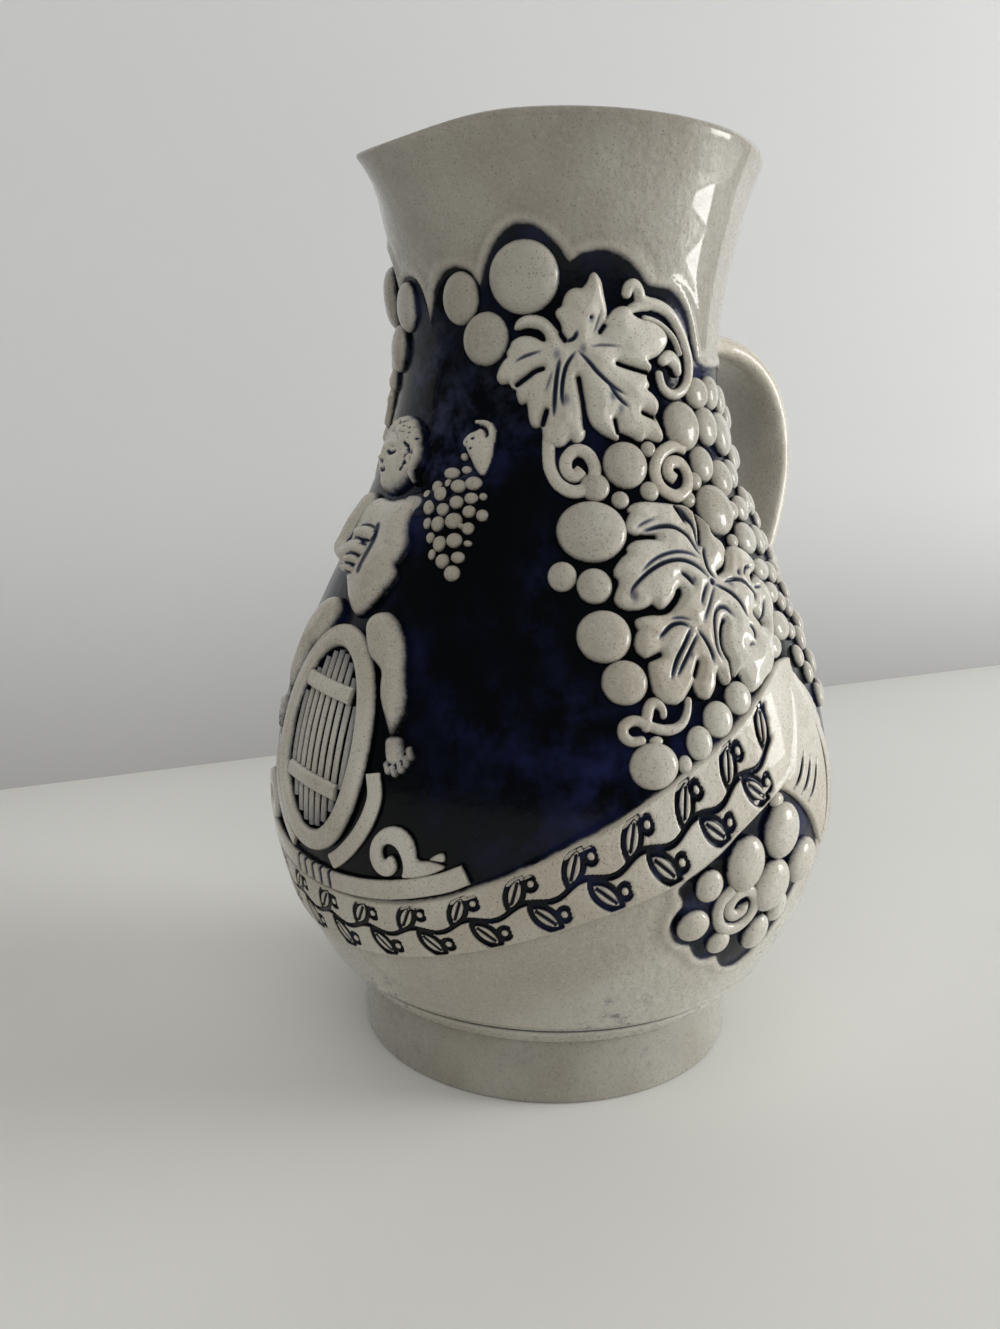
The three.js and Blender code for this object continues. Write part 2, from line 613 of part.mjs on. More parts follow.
addSprig("cask_base_board", [
  strip(basePath, 14, always(BASE_BOARD_WIDTH), always(BASE_BOARD_RISE), { edgeShare: 0.8 }),
]);

// The banner runs round the front from one fold to the other and stays bare of words.
const BANNER_HALF = [[0, 53], [25, 58.5], [46, 69], [58, 77], [73, 89], [90, 102], [106, 110.5]];
const BANNER_FOLD = [[99.5, 92.5], [104, 83]];
const BANNER_TAIL = [[111, 96], [113.5, 82], [117, 68]];
const bannerHalf = drawn(BANNER_HALF);
const bannerPath = [...mirrored(bannerHalf.slice(1), -1).reverse(), ...bannerHalf];
const bannerWidth = (share) => {
  const out = Math.abs(2 * share - 1);
  return BANNER_WIDTH + (BANNER_END_WIDTH - BANNER_WIDTH) * Math.min(1, (out / BANNER_SPREAD) ** 2);
};
const RIBBON_FORM = { columns: 4, edgeShare: 0.8 };
addSprig("banner", [strip(bannerPath, 40, bannerWidth, always(BANNER_RISE), RIBBON_FORM)]);

// The vine on each side: folds and tails of the banner, scrolls, leaves, tendrils and grapes.
const LEAF_UPPER_NODE = [[56, 195]];
const LEAF_LOWER_NODE = [[83.5, 138.5]];
const LEAF_UPPER = [
  [59.4, 215.2], [63, 207], [70, 208], [72, 202], [80, 203], [78, 197], [83, 190], [78, 185], [79, 176], [71, 181],
  [66, 174.5], [61, 182], [55, 178], [46.5, 173.5], [47, 181], [41.5, 179], [40, 186], [29, 189], [34, 195],
  [31, 201], [40, 204], [47, 203], [52, 208],
];
const LEAF_LOWER = [
  [61.4, 143.8], [65, 151], [70, 154], [72, 160], [80, 160], [84, 152], [91, 156], [97, 152], [101, 146],
  [106.7, 134], [102, 128], [99, 120], [94, 124], [89.5, 115.6], [86, 124], [81, 118], [73.4, 115.6], [72, 124],
  [68, 128], [71, 134], [64, 136],
];
const GRAPES = {
  neck: [[37, 213.8, 17], [24.4, 199.6, 11.8, 12.4], [15, 209.6, 10.5, 12.6]],
  shoulder: [[58.5, 163.9, 7], [67.4, 169.2, 11, 11.3], [73.9, 163, 5]],
  flank: [
    [90.6, 165.4, 4.2], [95.8, 169.8, 8.1, 9.3], [90, 179.2, 12.3, 12.6], [102.9, 179.4, 10.6, 10],
    [106, 187.5, 9, 8.4], [96.3, 158.2, 13.5, 13.7], [107.2, 150.4, 9.9], [110, 139, 7.5, 10],
    [107.8, 127, 9], [101.5, 124, 6.8], [107, 166, 9], [113, 158, 7],
  ],
  belly: [
    [57, 153.4, 17, 15.2], [50, 143.1, 6.4, 6.9], [57, 141, 8.3, 8.6], [58.3, 129.7, 12.7, 12.4],
    [61.7, 119.5, 10.9, 10.4],
  ],
  waist: [
    [66, 100.9, 11.9, 10.8], [75.1, 105.1, 6.6, 7.8], [79.7, 109.9, 8.3, 8.6], [85.5, 114, 7.7, 7.9],
  ],
  low: [
    [76.7, 70.6, 7.4, 8.2], [84.3, 74.2, 11.5, 13.6], [93.3, 80.2, 13.2, 14], [92.2, 66.2, 13, 13.6],
    [74.5, 60.3, 8.7, 8.2], [81, 55.4, 6.6, 8], [91.2, 52.8, 9, 10], [96.8, 58, 7, 8], [102, 69, 13, 12],
  ],
};
const GRAPE_LINKS = { flank: { 5: 1, 10: 5, 11: 10 }, low: { 4: 0, 6: 3, 7: 3, 8: 2 } };
const SCROLL = [[22.6, 73.6], [18.6, 72.4], [17, 77], [20.5, 82], [24.2, 79], [22.5, 75.6], [20.5, 76.5]];
const SCROLL_TAIL = [[22, 73.4], [26, 74.6], [30.8, 77.6]];
const TENDRILS = {
  left_curl: [[46.5, 172], [46, 168], [49, 163.8], [54.5, 163.5], [57.8, 167], [55.5, 170.8], [52, 169], [53.5, 167]],
  middle_curl: [[87, 171.6], [82, 173], [76.8, 168.5], [79, 163], [84.5, 162.7], [87, 166.6], [84, 169.6], [82, 167]],
  hook: [
    [68.3, 212.2], [74.6, 209.2], [82.6, 210.4], [91.8, 206.2], [98.6, 199], [99.2, 193], [96.3, 187.6],
    [89.5, 185.8], [84, 188.8], [83, 193], [88, 195.4],
  ],
  small_curl: [[62.5, 107.2], [60.8, 110.8], [65.4, 112.6], [69.3, 114.6], [73, 113], [71, 110], [68.4, 110.6]],
  field_curl: [[81.5, 66.5], [80.4, 62], [82.5, 59], [86, 60.4], [86.4, 64], [83.8, 65], [83, 62.6]],
};
for (const [side, sideName] of [[1, "right"], [-1, "left"]]) {
  addSprig(`scroll_${sideName}`, [
    strip(drawn(SCROLL, side), 14, always(SCROLL_WIDTH), always(TENDRIL_RISE)),
    strip(drawn(SCROLL_TAIL, side), 4, taper(SCROLL_WIDTH, SCROLL_TAIL_WIDTH), always(TENDRIL_RISE), {
      base: 2 * SLIP_GAP,
    }),
  ]);
  addSprig(`leaf_upper_${sideName}`, [
    patch(...drawn(LEAF_UPPER_NODE, side), drawn(LEAF_UPPER, side), LEAF_RISE, [0.33, 0.67], { base: LEAF_GAP }),
  ]);
  addSprig(`leaf_lower_${sideName}`, [
    patch(...drawn(LEAF_LOWER_NODE, side), drawn(LEAF_LOWER, side), LEAF_RISE, [0.33, 0.67], { base: LEAF_GAP }),
  ]);
  for (const [name, path] of Object.entries(TENDRILS)) {
    const steps = name === "hook" ? 18 : 13;
    const width = taper(TENDRIL_WIDTH, TENDRIL_TIP_WIDTH);
    const shape = strip(drawn(path, side), steps, width, always(TENDRIL_RISE), { columns: 2, edgeShare: 1 });
    addSprig(`tendril_${name}_${sideName}`, [shape]);
  }
  for (const [name, grapes] of Object.entries(GRAPES)) {
    addSprig(`grapes_${name}_${sideName}`, cluster(drawn(grapes, side), GRAPE_LINKS[name]));
  }
  const tailWidth = taper(TAIL_WIDTH, TAIL_TIP_WIDTH);
  addSprig(`banner_fold_${sideName}`, [
    strip(drawn(BANNER_FOLD, side), 3, always(FOLD_WIDTH), always(BANNER_RISE), RIBBON_FORM),
  ]);
  addSprig(`banner_tail_${sideName}`, [
    strip(drawn(BANNER_TAIL, side), 5, tailWidth, always(BANNER_RISE), RIBBON_FORM),
  ]);
}

export default pitcher;
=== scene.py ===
# %% [markdown]
# # A relief wine pitcher in salt-glazed stoneware
#
# The jug is one fired piece of clay. A potter threw the wall, pulled the lip and the handle, and
# pressed every ornament in a mould and stuck it on with slip. Then cobalt was washed over the ground
# and salt was thrown in the kiln, which glazes the clay with an orange-peel skin. This lesson rebuilds
# it in that order: the wall, the foot, the handle, the sprigs, and at last the two glazes. Everything
# is in metres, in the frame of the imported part.

import math
from functools import partialmethod

import bpy
import numpy as np
from mathutils import Matrix, Vector


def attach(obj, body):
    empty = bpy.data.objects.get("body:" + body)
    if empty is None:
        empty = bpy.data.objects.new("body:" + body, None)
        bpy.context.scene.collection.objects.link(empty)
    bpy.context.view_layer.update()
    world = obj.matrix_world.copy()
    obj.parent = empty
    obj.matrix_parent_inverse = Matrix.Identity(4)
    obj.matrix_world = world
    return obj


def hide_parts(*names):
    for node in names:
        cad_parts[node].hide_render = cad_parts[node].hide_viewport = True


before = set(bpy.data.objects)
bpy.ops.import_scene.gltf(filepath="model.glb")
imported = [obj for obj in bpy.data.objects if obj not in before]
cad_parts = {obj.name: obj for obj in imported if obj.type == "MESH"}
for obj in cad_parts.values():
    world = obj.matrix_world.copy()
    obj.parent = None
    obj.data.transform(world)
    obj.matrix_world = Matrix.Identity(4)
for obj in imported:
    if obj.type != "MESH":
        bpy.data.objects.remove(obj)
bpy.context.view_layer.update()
MM = 0.001
print("nodes in the frame:", len(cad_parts))

# %% [markdown]
# ## The camera comes first
#
# The photograph was taken with a phone, close to the jug and a little from above. The camera's place
# was found by fitting the rim, the foot and the belly. A Blender camera looks down its own -Z, so three
# turns aim it: the heading, the tilt up from straight down, and a small roll.

# %% Set up the camera
CAMERA_AZIMUTH = 48.0
CAMERA_DISTANCE = 318.6
CAMERA_HEIGHT = 173.0
CAMERA_HEADING = 140.759
CAMERA_TILT = 78.713
CAMERA_ROLL = 0.767
FOCAL_PIXELS = 1080.33
PHOTO_HEIGHT = 1329
SENSOR = 36.0
NEAREST_SEEN = 0.01


def add_to_scene(name, data):
    """A new object in the scene, at the origin."""
    thing = bpy.data.objects.new(name, data)
    bpy.context.scene.collection.objects.link(thing)
    return thing


def around_jug(azimuth, distance, height):
    """A place in the room, from its azimuth in degrees."""
    angle = math.radians(azimuth)
    return distance * math.cos(angle), distance * math.sin(angle), height


camera_data = bpy.data.cameras.new("camera")
camera_data.sensor_width = SENSOR
camera_data.lens = FOCAL_PIXELS / PHOTO_HEIGHT * SENSOR
camera_data.clip_start = NEAREST_SEEN
camera = add_to_scene("camera", camera_data)
camera.matrix_world = (
    Matrix.Translation(around_jug(CAMERA_AZIMUTH, CAMERA_DISTANCE * MM, CAMERA_HEIGHT * MM))
    @ Matrix.Rotation(math.radians(CAMERA_HEADING), 4, "Z")
    @ Matrix.Rotation(math.radians(CAMERA_TILT), 4, "X")
    @ Matrix.Rotation(math.radians(CAMERA_ROLL), 4, "Z")
)
bpy.context.scene.camera = camera
print("lens in mm:", round(camera_data.lens, 2))

# %% [markdown]
# ## The shape of the wall
#
# The wall is a turned form: an elliptic belly, a long drawn-in shoulder and a flared neck. The lip is
# pulled out of its round rim. All ornament lies on this surface, so the helpers turn a place on it, an
# azimuth in degrees and a height in millimetres, into a point. Azimuth 0 is the lip, 180 the handle.

# %% Sizes of the wall
JUG_HEIGHT = 250.0
BELLY_RADIUS = 81.5
BELLY_HEIGHT = 78.0
BELLY_DROP = 84.0
NECK_RADIUS = 44.0
NECK_HEIGHT = 203.0
RIM_RADIUS = 54.5
RIM_FLARE = 1.8
LIP_REACH = 9.0
LIP_DIP = 6.0
LIP_HALF_ANGLE = 20.0
LIP_SHARPNESS = 2.4
LIP_LENGTH = 36.0
SLOPE_STEP = 0.01
print("height and width of the rim in mm:", JUG_HEIGHT, 2 * RIM_RADIUS)


# %% Places on the wall
def wall_radius(height):
    """The wall's outer radius in mm at a height in mm."""
    height = np.asarray(height, float)
    drop = (BELLY_HEIGHT - height) / BELLY_DROP
    belly = BELLY_RADIUS * np.sqrt(np.clip(1 - drop * drop, 0, 1))
    share = (height - BELLY_HEIGHT) / (NECK_HEIGHT - BELLY_HEIGHT)
    shoulder = NECK_RADIUS + (BELLY_RADIUS - NECK_RADIUS) * (0.5 + 0.5 * np.cos(np.pi * share))
    flare = np.clip((height - NECK_HEIGHT) / (JUG_HEIGHT - NECK_HEIGHT), 0, 2) ** RIM_FLARE
    neck = NECK_RADIUS + (RIM_RADIUS - NECK_RADIUS) * flare
    return np.where(height < BELLY_HEIGHT, belly, np.where(height < NECK_HEIGHT, shoulder, neck))


def wall_slope(height):
    """How fast the wall's radius grows with the height."""
    return (wall_radius(height + SLOPE_STEP) - wall_radius(height - SLOPE_STEP)) / (2 * SLOPE_STEP)


def lip_pull(azimuth, height):
    """How strongly the lip pulls a place of the round neck, from 0 to 1."""
    share = np.clip((height - JUG_HEIGHT + LIP_LENGTH) / LIP_LENGTH, 0, None) ** 2
    return share * np.exp(-(np.abs(azimuth / LIP_HALF_ANGLE) ** LIP_SHARPNESS))


def on_wall(azimuth, height, lift=0.0):
    """Points in metres over the wall, lifted off it along its normal by a lift in mm."""
    azimuth, height, lift = np.broadcast_arrays(*(np.asarray(v, float) for v in (azimuth, height, lift)))
    slope = wall_slope(height)
    length = np.hypot(1, slope)
    level = height - lift * slope / length
    pull = lip_pull(azimuth, level)
    reach = wall_radius(height) + lift / length + LIP_REACH * pull
    angle = np.radians(azimuth)
    return np.stack([reach * np.cos(angle), reach * np.sin(angle), level - LIP_DIP * pull], -1) * MM


def lift_of(points):
    """How far points in metres stand over the wall, in mm."""
    x, y, height = (points / MM).T
    return (np.hypot(x, y) - wall_radius(height)) / np.hypot(1, wall_slope(height))


def azimuth_of(points):
    """The azimuth of points in degrees, from -180 to 180."""
    return np.degrees(np.arctan2(points[:, 1], points[:, 0]))


print("radius at the belly and the neck:", wall_radius(BELLY_HEIGHT), wall_radius(NECK_HEIGHT))

# %% [markdown]
# ## From arrays to a mesh
#
# Most pieces are worked out as arrays, because a pressed relief is a field of heights. The first
# helpers make a mesh from arrays and read its points back. Beside its place, a vertex can carry marks,
# which are attributes of the mesh. "bare" is how high it stands on its sprig, where the wash was wiped
# off. "groove" is how deep it lies in a cut, where the wash stays; on the figure and in the wall's
# turned groove it carries painted shade as well. "ground" is how far it lies inside the cobalt ground.
# The glazes read these marks later.


# %% Meshes and marks
def add_mark(mesh, label, values, kind="FLOAT"):
    """Stores a value for each vertex, under a label that trees and materials can read."""
    attribute = mesh.attributes.get(label) or mesh.attributes.new(label, kind, "POINT")
    key = "vector" if kind == "FLOAT_VECTOR" else "value"
    attribute.data.foreach_set(key, np.ascontiguousarray(values, np.float32).ravel())


def plain_mesh(name, points, edges=(), faces=()):
    mesh = bpy.data.meshes.new(name)
    mesh.from_pydata(points, edges, faces)
    return mesh


def new_piece(name, points, faces, marks=None):
    """An object from points in metres and arrays of faces, with marks by their labels."""
    mesh = plain_mesh(name, points.tolist(), faces=[face for group in faces for face in group.tolist()])
    for label, values in (marks or {}).items():
        add_mark(mesh, label, values)
    mesh.shade_smooth()
    return add_to_scene(name, mesh)


def points_of(piece):
    points = np.empty(len(piece.data.vertices) * 3, np.float32)
    piece.data.vertices.foreach_get("co", points)
    return points.reshape(-1, 3).astype(float)


def set_points(piece, points):
    piece.data.vertices.foreach_set("co", points.astype(np.float32).ravel())
    piece.data.update()


def turn_outwards(piece):
    """Flips the faces of a closed piece if its volume comes out negative."""
    mesh = piece.data
    mesh.calc_loop_triangles()
    corners = np.empty(len(mesh.loop_triangles) * 3, np.int32)
    mesh.loop_triangles.foreach_get("vertices", corners)
    a, b, c = points_of(piece)[corners.reshape(-1, 3)].transpose(1, 0, 2)
    if np.einsum("ij,ij->i", a, np.cross(b, c)).sum() < 0:
        mesh.flip_normals()


print("marks: bare, groove, ground")


# %% Finish a piece, and its twin on the other side
def dress(piece, nodes):
    """Hides the imported nodes that a finished piece stands for, and prints how many. Every piece of a
    pitcher rides on the one body.
    """
    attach(piece, "root")
    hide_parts(*nodes)
    print(f"{piece.name}: {len(piece.data.polygons)} faces, stands for {len(nodes)} node(s)")


def mirrored_copy(piece, name):
    """The same sprig on the other side of the jug."""
    twin = add_to_scene(name, piece.data.copy())
    set_points(twin, points_of(twin) * (1, -1, 1))
    twin.data.flip_normals()
    return twin


def dress_pair(piece, nodes):
    """A right-hand sprig and its twin on the left. Node names end in the side."""
    twin = mirrored_copy(piece, piece.name.replace("right", "left"))
    dress(piece, [f"{node}_right" for node in nodes])
    dress(twin, [f"{node}_left" for node in nodes])


print("pieces are mirrored in the plane of the lip and the handle")

# %% [markdown]
# ## Drawing on the wall
#
# Outlines and paths are drawn as places, and distances to them are measured in a flat plane of
# millimetres: x is the way round the wall from a middle azimuth, and y is the height. A distance field
# turns a drawing into clay. Inside an outline it swells like a pillow, and along a line it can cut a
# groove. Corner cutting softens what was drawn.

# %% Flat drawings
CURVE_STEPS = 16


def flatten(places, middle):
    places = np.asarray(places, float)
    x = np.radians(places[..., 0] - middle) * wall_radius(places[..., 1])
    return np.stack([x, places[..., 1]], -1)


def turn_axes(x, y, degrees):
    """Flat coordinates along and across a direction at an angle."""
    angle = math.radians(degrees)
    return x * math.cos(angle) + y * math.sin(angle), y * math.cos(angle) - x * math.sin(angle)


def soften(places, rounds=2, closed=True):
    """Cuts the corners of a path or outline, which rounds them as a pressed mould would."""
    places = np.asarray(places, float)
    for _ in range(rounds):
        after = np.roll(places, -1, 0) if closed else places[1:]
        before = places if closed else places[:-1]
        cut = np.stack([0.75 * before + 0.25 * after, 0.25 * before + 0.75 * after], 1).reshape(-1, 2)
        places = cut if closed else np.vstack([places[:1], cut, places[-1:]])
    return places


def follow(places, step=0.7, closed=False):
    """A smooth path through flat places, with points at even steps."""
    places = np.asarray(places, float)
    if closed:
        ends = [places[-1:], places, places[:2]]
    else:
        ends = [2 * places[:1] - places[1:2], places, 2 * places[-1:] - places[-2:-1]]
    run = np.vstack(ends)
    t = np.linspace(0, 1, CURVE_STEPS + 1)[:-1, None]
    parts = []
    for p0, p1, p2, p3 in zip(run, run[1:], run[2:], run[3:]):
        bend = (2 * p0 - 5 * p1 + 4 * p2 - p3) * t**2 + (3 * p1 - p0 - 3 * p2 + p3) * t**3
        parts.append(0.5 * (2 * p1 + (p2 - p0) * t + bend))
    path = np.vstack([*parts, run[-2:-1]])
    along = np.concatenate([[0], np.cumsum(np.hypot(*np.diff(path, axis=0).T))])
    count = max(4, round(along[-1] / step))
    at = np.linspace(0, along[-1], count + 1)
    even = np.stack([np.interp(at, along, path[:, axis]) for axis in (0, 1)], -1)
    return even[:-1] if closed else even


print("mm for each degree round the belly:", round(float(np.radians(1) * wall_radius(BELLY_HEIGHT)), 3))

# %% Distance fields
DIVE_SLOPE = 1.6


def distance_to(x, y, path, closed=False):
    """The distance from each point to a path, and the share of the way along it."""
    starts = path if closed else path[:-1]
    spans = (np.roll(path, -1, 0) if closed else path[1:]) - starts
    lengths = np.maximum(np.hypot(*spans.T), 1e-9)
    before = np.concatenate([[0], np.cumsum(lengths)])
    best = np.full(x.shape, 1e9)
    share = np.zeros(x.shape)
    for (sx, sy), (dx, dy), length, run in zip(starts, spans, lengths, before):
        t = np.clip(((x - sx) * dx + (y - sy) * dy) / length**2, 0, 1)
        gap = np.hypot(x - sx - t * dx, y - sy - t * dy)
        closer = gap < best
        best[closer] = gap[closer]
        share[closer] = (run + t[closer] * length) / before[-1]
    return best, share


def depth_in(x, y, outline):
    """The distance to a closed outline, positive inside it."""
    inside = np.zeros(x.shape, bool)
    for (x1, y1), (x2, y2) in zip(outline, np.roll(outline, -1, 0)):
        if y1 != y2:
            crosses = (y1 > y) != (y2 > y)
            inside ^= crosses & (x < (x2 - x1) * (y - y1) / (y2 - y1) + x1)
    gap = distance_to(x, y, outline, closed=True)[0]
    return np.where(inside, gap, -gap)


def smooth_step(low, high, values):
    t = np.clip((values - low) / (high - low), 0, 1)
    return t * t * (3 - 2 * t)


def bell(values, width):
    """1 where the values are 0, falling off softly to both sides."""
    return np.exp(-((values / width) ** 2))


def pillow(depth, reach, rise):
    """A rounded swelling: it climbs from the outline to its full rise at a reach inside it."""
    t = np.clip(depth / reach, 0, 1)
    return np.where(depth > 0, rise * np.sqrt(1 - (1 - t) ** 2), DIVE_SLOPE * depth)


def blend_up(a, b, softness=0.8):
    """The higher of two fields, with a soft crease where they meet."""
    return (a + b + np.sqrt((a - b) ** 2 + softness**2)) / 2


print("rise of a pillow in four steps:", pillow(np.linspace(0, 1, 5), 1.0, 1.0).round(2))

# %% [markdown]
# ## A pressed sprig
#
# A sprig is a closed skin over a grid of places. Where its field stays under the wall nothing is made,
# so the outline is where the clay dives into the wall, and it is as smooth as the field. The underside
# lies just inside the wall.

# %% A grid of places on the wall
GRID_PITCH = 0.4


class Field:
    """A grid of places on the wall, with the flat coordinates in which sprigs are drawn."""

    def __init__(self, azimuths, heights, pitch=GRID_PITCH):
        self.middle = sum(azimuths) / 2
        widest = np.radians(azimuths[1] - azimuths[0]) * wall_radius(np.linspace(*heights, 9)).max()
        columns = round(widest / pitch) + 1
        rows = round((heights[1] - heights[0]) / pitch) + 1
        self.azimuth, self.height = np.meshgrid(np.linspace(*azimuths, columns), np.linspace(*heights, rows))
        self.x, self.y = np.moveaxis(flatten(np.stack([self.azimuth, self.height], -1), self.middle), -1, 0)

    def flat(self, places):
        return flatten(places, self.middle)

    def depth(self, outline, rounds=2):
        return depth_in(self.x, self.y, soften(self.flat(outline), rounds))

    def gap(self, path, rounds=2):
        return distance_to(self.x, self.y, soften(self.flat(path), rounds, closed=False))

    def bump(self, place, half_width, half_height, tilt=0.0):
        """A soft round bump of height 1, in mm of half width and half height."""
        x, y = self.flat([place])[0]
        along, across = turn_axes(self.x - x, self.y - y, tilt)
        return np.exp(-((along / half_width) ** 2) - (across / half_height) ** 2)


print("grid pitch in mm:", GRID_PITCH)

# %% Press a field of heights into a closed skin
SUNK = -1.1
DIVE = -0.7
CORNER_ROUNDS = 4
UNDERSIDE_MARK = -1.0


def join_corners(solid):
    """Cells that meet only at a corner get a neighbour, so that no edge is shared by four faces."""
    for _ in range(CORNER_ROUNDS):
        left, right = solid[:, :-1], solid[:, 1:]
        rising = left[:-1] & right[1:] & ~right[:-1] & ~left[1:]
        falling = left[1:] & right[:-1] & ~right[1:] & ~left[:-1]
        solid[:-1, 1:] |= rising
        solid[:-1, :-1] |= falling


def press(name, field, lift, top, marks=None):
    """The closed skin of a sprig from its lift over the wall in mm. "bare" is its share of the top."""
    corners = [lift[:-1, :-1], lift[:-1, 1:], lift[1:, 1:], lift[1:, :-1]]
    solid = np.maximum.reduce(corners) > DIVE / 2
    join_corners(solid)
    index = np.arange(lift.size).reshape(lift.shape)
    a, b, c, d = index[:-1, :-1], index[:-1, 1:], index[1:, 1:], index[1:, :-1]
    under = lift.size
    around = np.pad(solid, 1)
    upper = np.stack([a, b, c, d], -1)[solid]
    faces = [upper, upper[:, ::-1] + under]
    for neighbour, start, end in (
        (around[1:-1, :-2], a, d), (around[1:-1, 2:], c, b),
        (around[:-2, 1:-1], b, a), (around[2:, 1:-1], d, c),
    ):
        edge = solid & ~neighbour
        start, end = start[edge], end[edge]
        faces.append(np.stack([start, end, end + under, start + under], -1))
    faces = np.vstack(faces)
    used, compact = np.unique(faces, return_inverse=True)
    over = on_wall(field.azimuth, field.height, np.maximum(lift, DIVE)).reshape(-1, 3)
    below = on_wall(field.azimuth, field.height, SUNK).reshape(-1, 3)
    every = {"bare": np.concatenate([(lift / top).ravel(), np.full(lift.size, UNDERSIDE_MARK)])[used]}
    for label, values in (marks or {}).items():
        every[label] = np.tile(values.ravel(), 2)[used]
    return new_piece(name, np.vstack([over, below])[used], [compact.reshape(faces.shape)], every)


def limb(field, path, widths, rises):
    """A rounded limb or coil along a path. Half width and rise run along it as given."""
    gap, share = field.gap(path)
    half = np.interp(share, np.linspace(0, 1, len(widths)), widths)
    rise = np.interp(share, np.linspace(0, 1, len(rises)), rises)
    rounded = rise * np.sqrt(1 - np.minimum(gap / half, 1) ** 2)
    return np.where(gap < half, rounded, DIVE_SLOPE * (half - gap))


print("a sprig dives under the wall by mm:", -DIVE)

# %% [markdown]
# ## Geometry Nodes helpers
#
# What is turned on the wheel, rolled out along a path or repeated comes from Geometry Nodes. Each tree
# below has named inputs for its sizes. Numbers run through a tree from socket to socket, and each step
# of arithmetic is a Math node. The small class Flow adds these nodes for us, so a rule can be written
# as a sum. A tree is run once on a mesh, the evaluated result is copied into a plain mesh, and the
# object with the modifier goes away.


# %% Numbers that flow through a tree
def plug(value, socket):
    """Links a flow, an output or a node's first output to a socket, or types a plain value into it."""
    if isinstance(value, Flow):
        value = value.socket
    if isinstance(value, bpy.types.Node):
        value = next(output for output in value.outputs if output.enabled)
    if isinstance(value, bpy.types.NodeSocket):
        socket.id_data.links.new(value, socket)
    else:
        socket.default_value = value


def math_node(tree, operation, *values):
    node = tree.nodes.new("ShaderNodeMath")
    node.operation = operation
    for socket, value in zip(node.inputs, values):
        plug(value, socket)
    return Flow(node.outputs[0])


class Flow:
    """A number in a node tree. Arithmetic with it adds Math nodes to its tree."""

    def __init__(self, socket):
        self.socket = socket
        self.tree = socket.id_data

    def math(self, operation, *others):
        return math_node(self.tree, operation, self, *others)

    __add__ = partialmethod(math, "ADD")
    __sub__ = partialmethod(math, "SUBTRACT")
    __mul__ = partialmethod(math, "MULTIPLY")
    __truediv__ = partialmethod(math, "DIVIDE")
    __pow__ = partialmethod(math, "POWER")

    def __rsub__(self, other):
        return math_node(self.tree, "SUBTRACT", other, self)

    def __rtruediv__(self, other):
        return math_node(self.tree, "DIVIDE", other, self)


print("steps of arithmetic are ready")


# %% Build a node tree
def new_tree(name, tree_kind, inputs, outputs):
    """A node group, the flows from its inputs of (label, kind, default), and the node where it ends."""
    tree = bpy.data.node_groups.new(name, tree_kind)
    for label, kind, default in inputs:
        socket = tree.interface.new_socket(label, in_out="INPUT", socket_type=f"NodeSocket{kind}")
        if default is not None:
            socket.default_value = default
    for label, kind in outputs:
        tree.interface.new_socket(label, in_out="OUTPUT", socket_type=f"NodeSocket{kind}")
    start, end = tree.nodes.new("NodeGroupInput"), tree.nodes.new("NodeGroupOutput")
    return tree, {socket.name: Flow(socket) for socket in start.outputs if socket.name}, end


def new_geometry_tree(name, inputs):
    """A tree that takes a geometry, its own inputs and a material, and gives a geometry."""
    inputs = [("Geometry", "Geometry", None), *inputs, ("Material", "Material", None)]
    return new_tree(name, "GeometryNodeTree", inputs, [("Geometry", "Geometry")])


def feed(node, **values):
    """Plugs values into a node's inputs by name, with _ for a space."""
    for label, value in values.items():
        wanted = label.replace("_", " ")
        plug(value, next(socket for socket in node.inputs if socket.name == wanted and socket.enabled))


def add_node(tree, kind, settings=None, **inputs):
    node = tree.nodes.new(kind)
    for label, value in (settings or {}).items():
        setattr(node, label, value)
    feed(node, **inputs)
    return node


def split(tree, vector):
    """The three numbers of a vector."""
    return [Flow(output) for output in add_node(tree, "ShaderNodeSeparateXYZ", Vector=vector).outputs]


def position(tree):
    return tree.nodes.new("GeometryNodeInputPosition")


def end_tree(tree, end, geometry, material):
    """Every tree ends in Realize Instances and Set Material."""
    real = add_node(tree, "GeometryNodeRealizeInstances", Geometry=geometry)
    plug(add_node(tree, "GeometryNodeSetMaterial", Geometry=real, Material=material), end.inputs[0])


print("node trees:", len(bpy.data.node_groups))

# %% Run a node tree on a mesh
CLAY = bpy.data.materials.new("clay")


def run_tree(tree, name, mesh, values):
    """Runs a tree on a mesh and returns a new object with the plain result."""
    carrier = add_to_scene("carrier", mesh)
    modifier = carrier.modifiers.new("tree", "NODES")
    modifier.node_group = tree
    for item in tree.interface.items_tree:
        if item.in_out == "INPUT" and item.name in values:
            modifier[item.identifier] = values[item.name]
        elif item.in_out == "INPUT" and item.name == "Material":
            modifier[item.identifier] = CLAY
    evaluated = carrier.evaluated_get(bpy.context.evaluated_depsgraph_get())
    result = bpy.data.meshes.new_from_object(evaluated)
    carrier.modifiers.remove(modifier)
    bpy.data.objects.remove(carrier)
    result.name = name
    result.materials.clear()
    result.shade_smooth()
    return add_to_scene(name, result)


def line_mesh(name, routes, closed=False):
    """A mesh of edges only: the paths or the profile that a tree works on."""
    points, edges = [], []
    for route in routes:
        first = len(points)
        points += [tuple(point) for point in route]
        edges += [(index, index + 1) for index in range(first, len(points) - 1)]
        if closed:
            edges.append((len(points) - 1, first))
    return plain_mesh(name, points, edges)


print("material until the glazes are put on:", CLAY.name)

# %% [markdown]
# ## The wall, turned on the wheel
#
# The wall is a profile swept once round the axis, and then the lip is pulled. The tree makes a grid,
# reads the radius and height of each row from the profile, and bends the grid round. The pull of the
# lip is the same rule as above, in nodes. Doubles are merged at the seam, so the skin is closed. The
# foot uses the same tree with no lip.

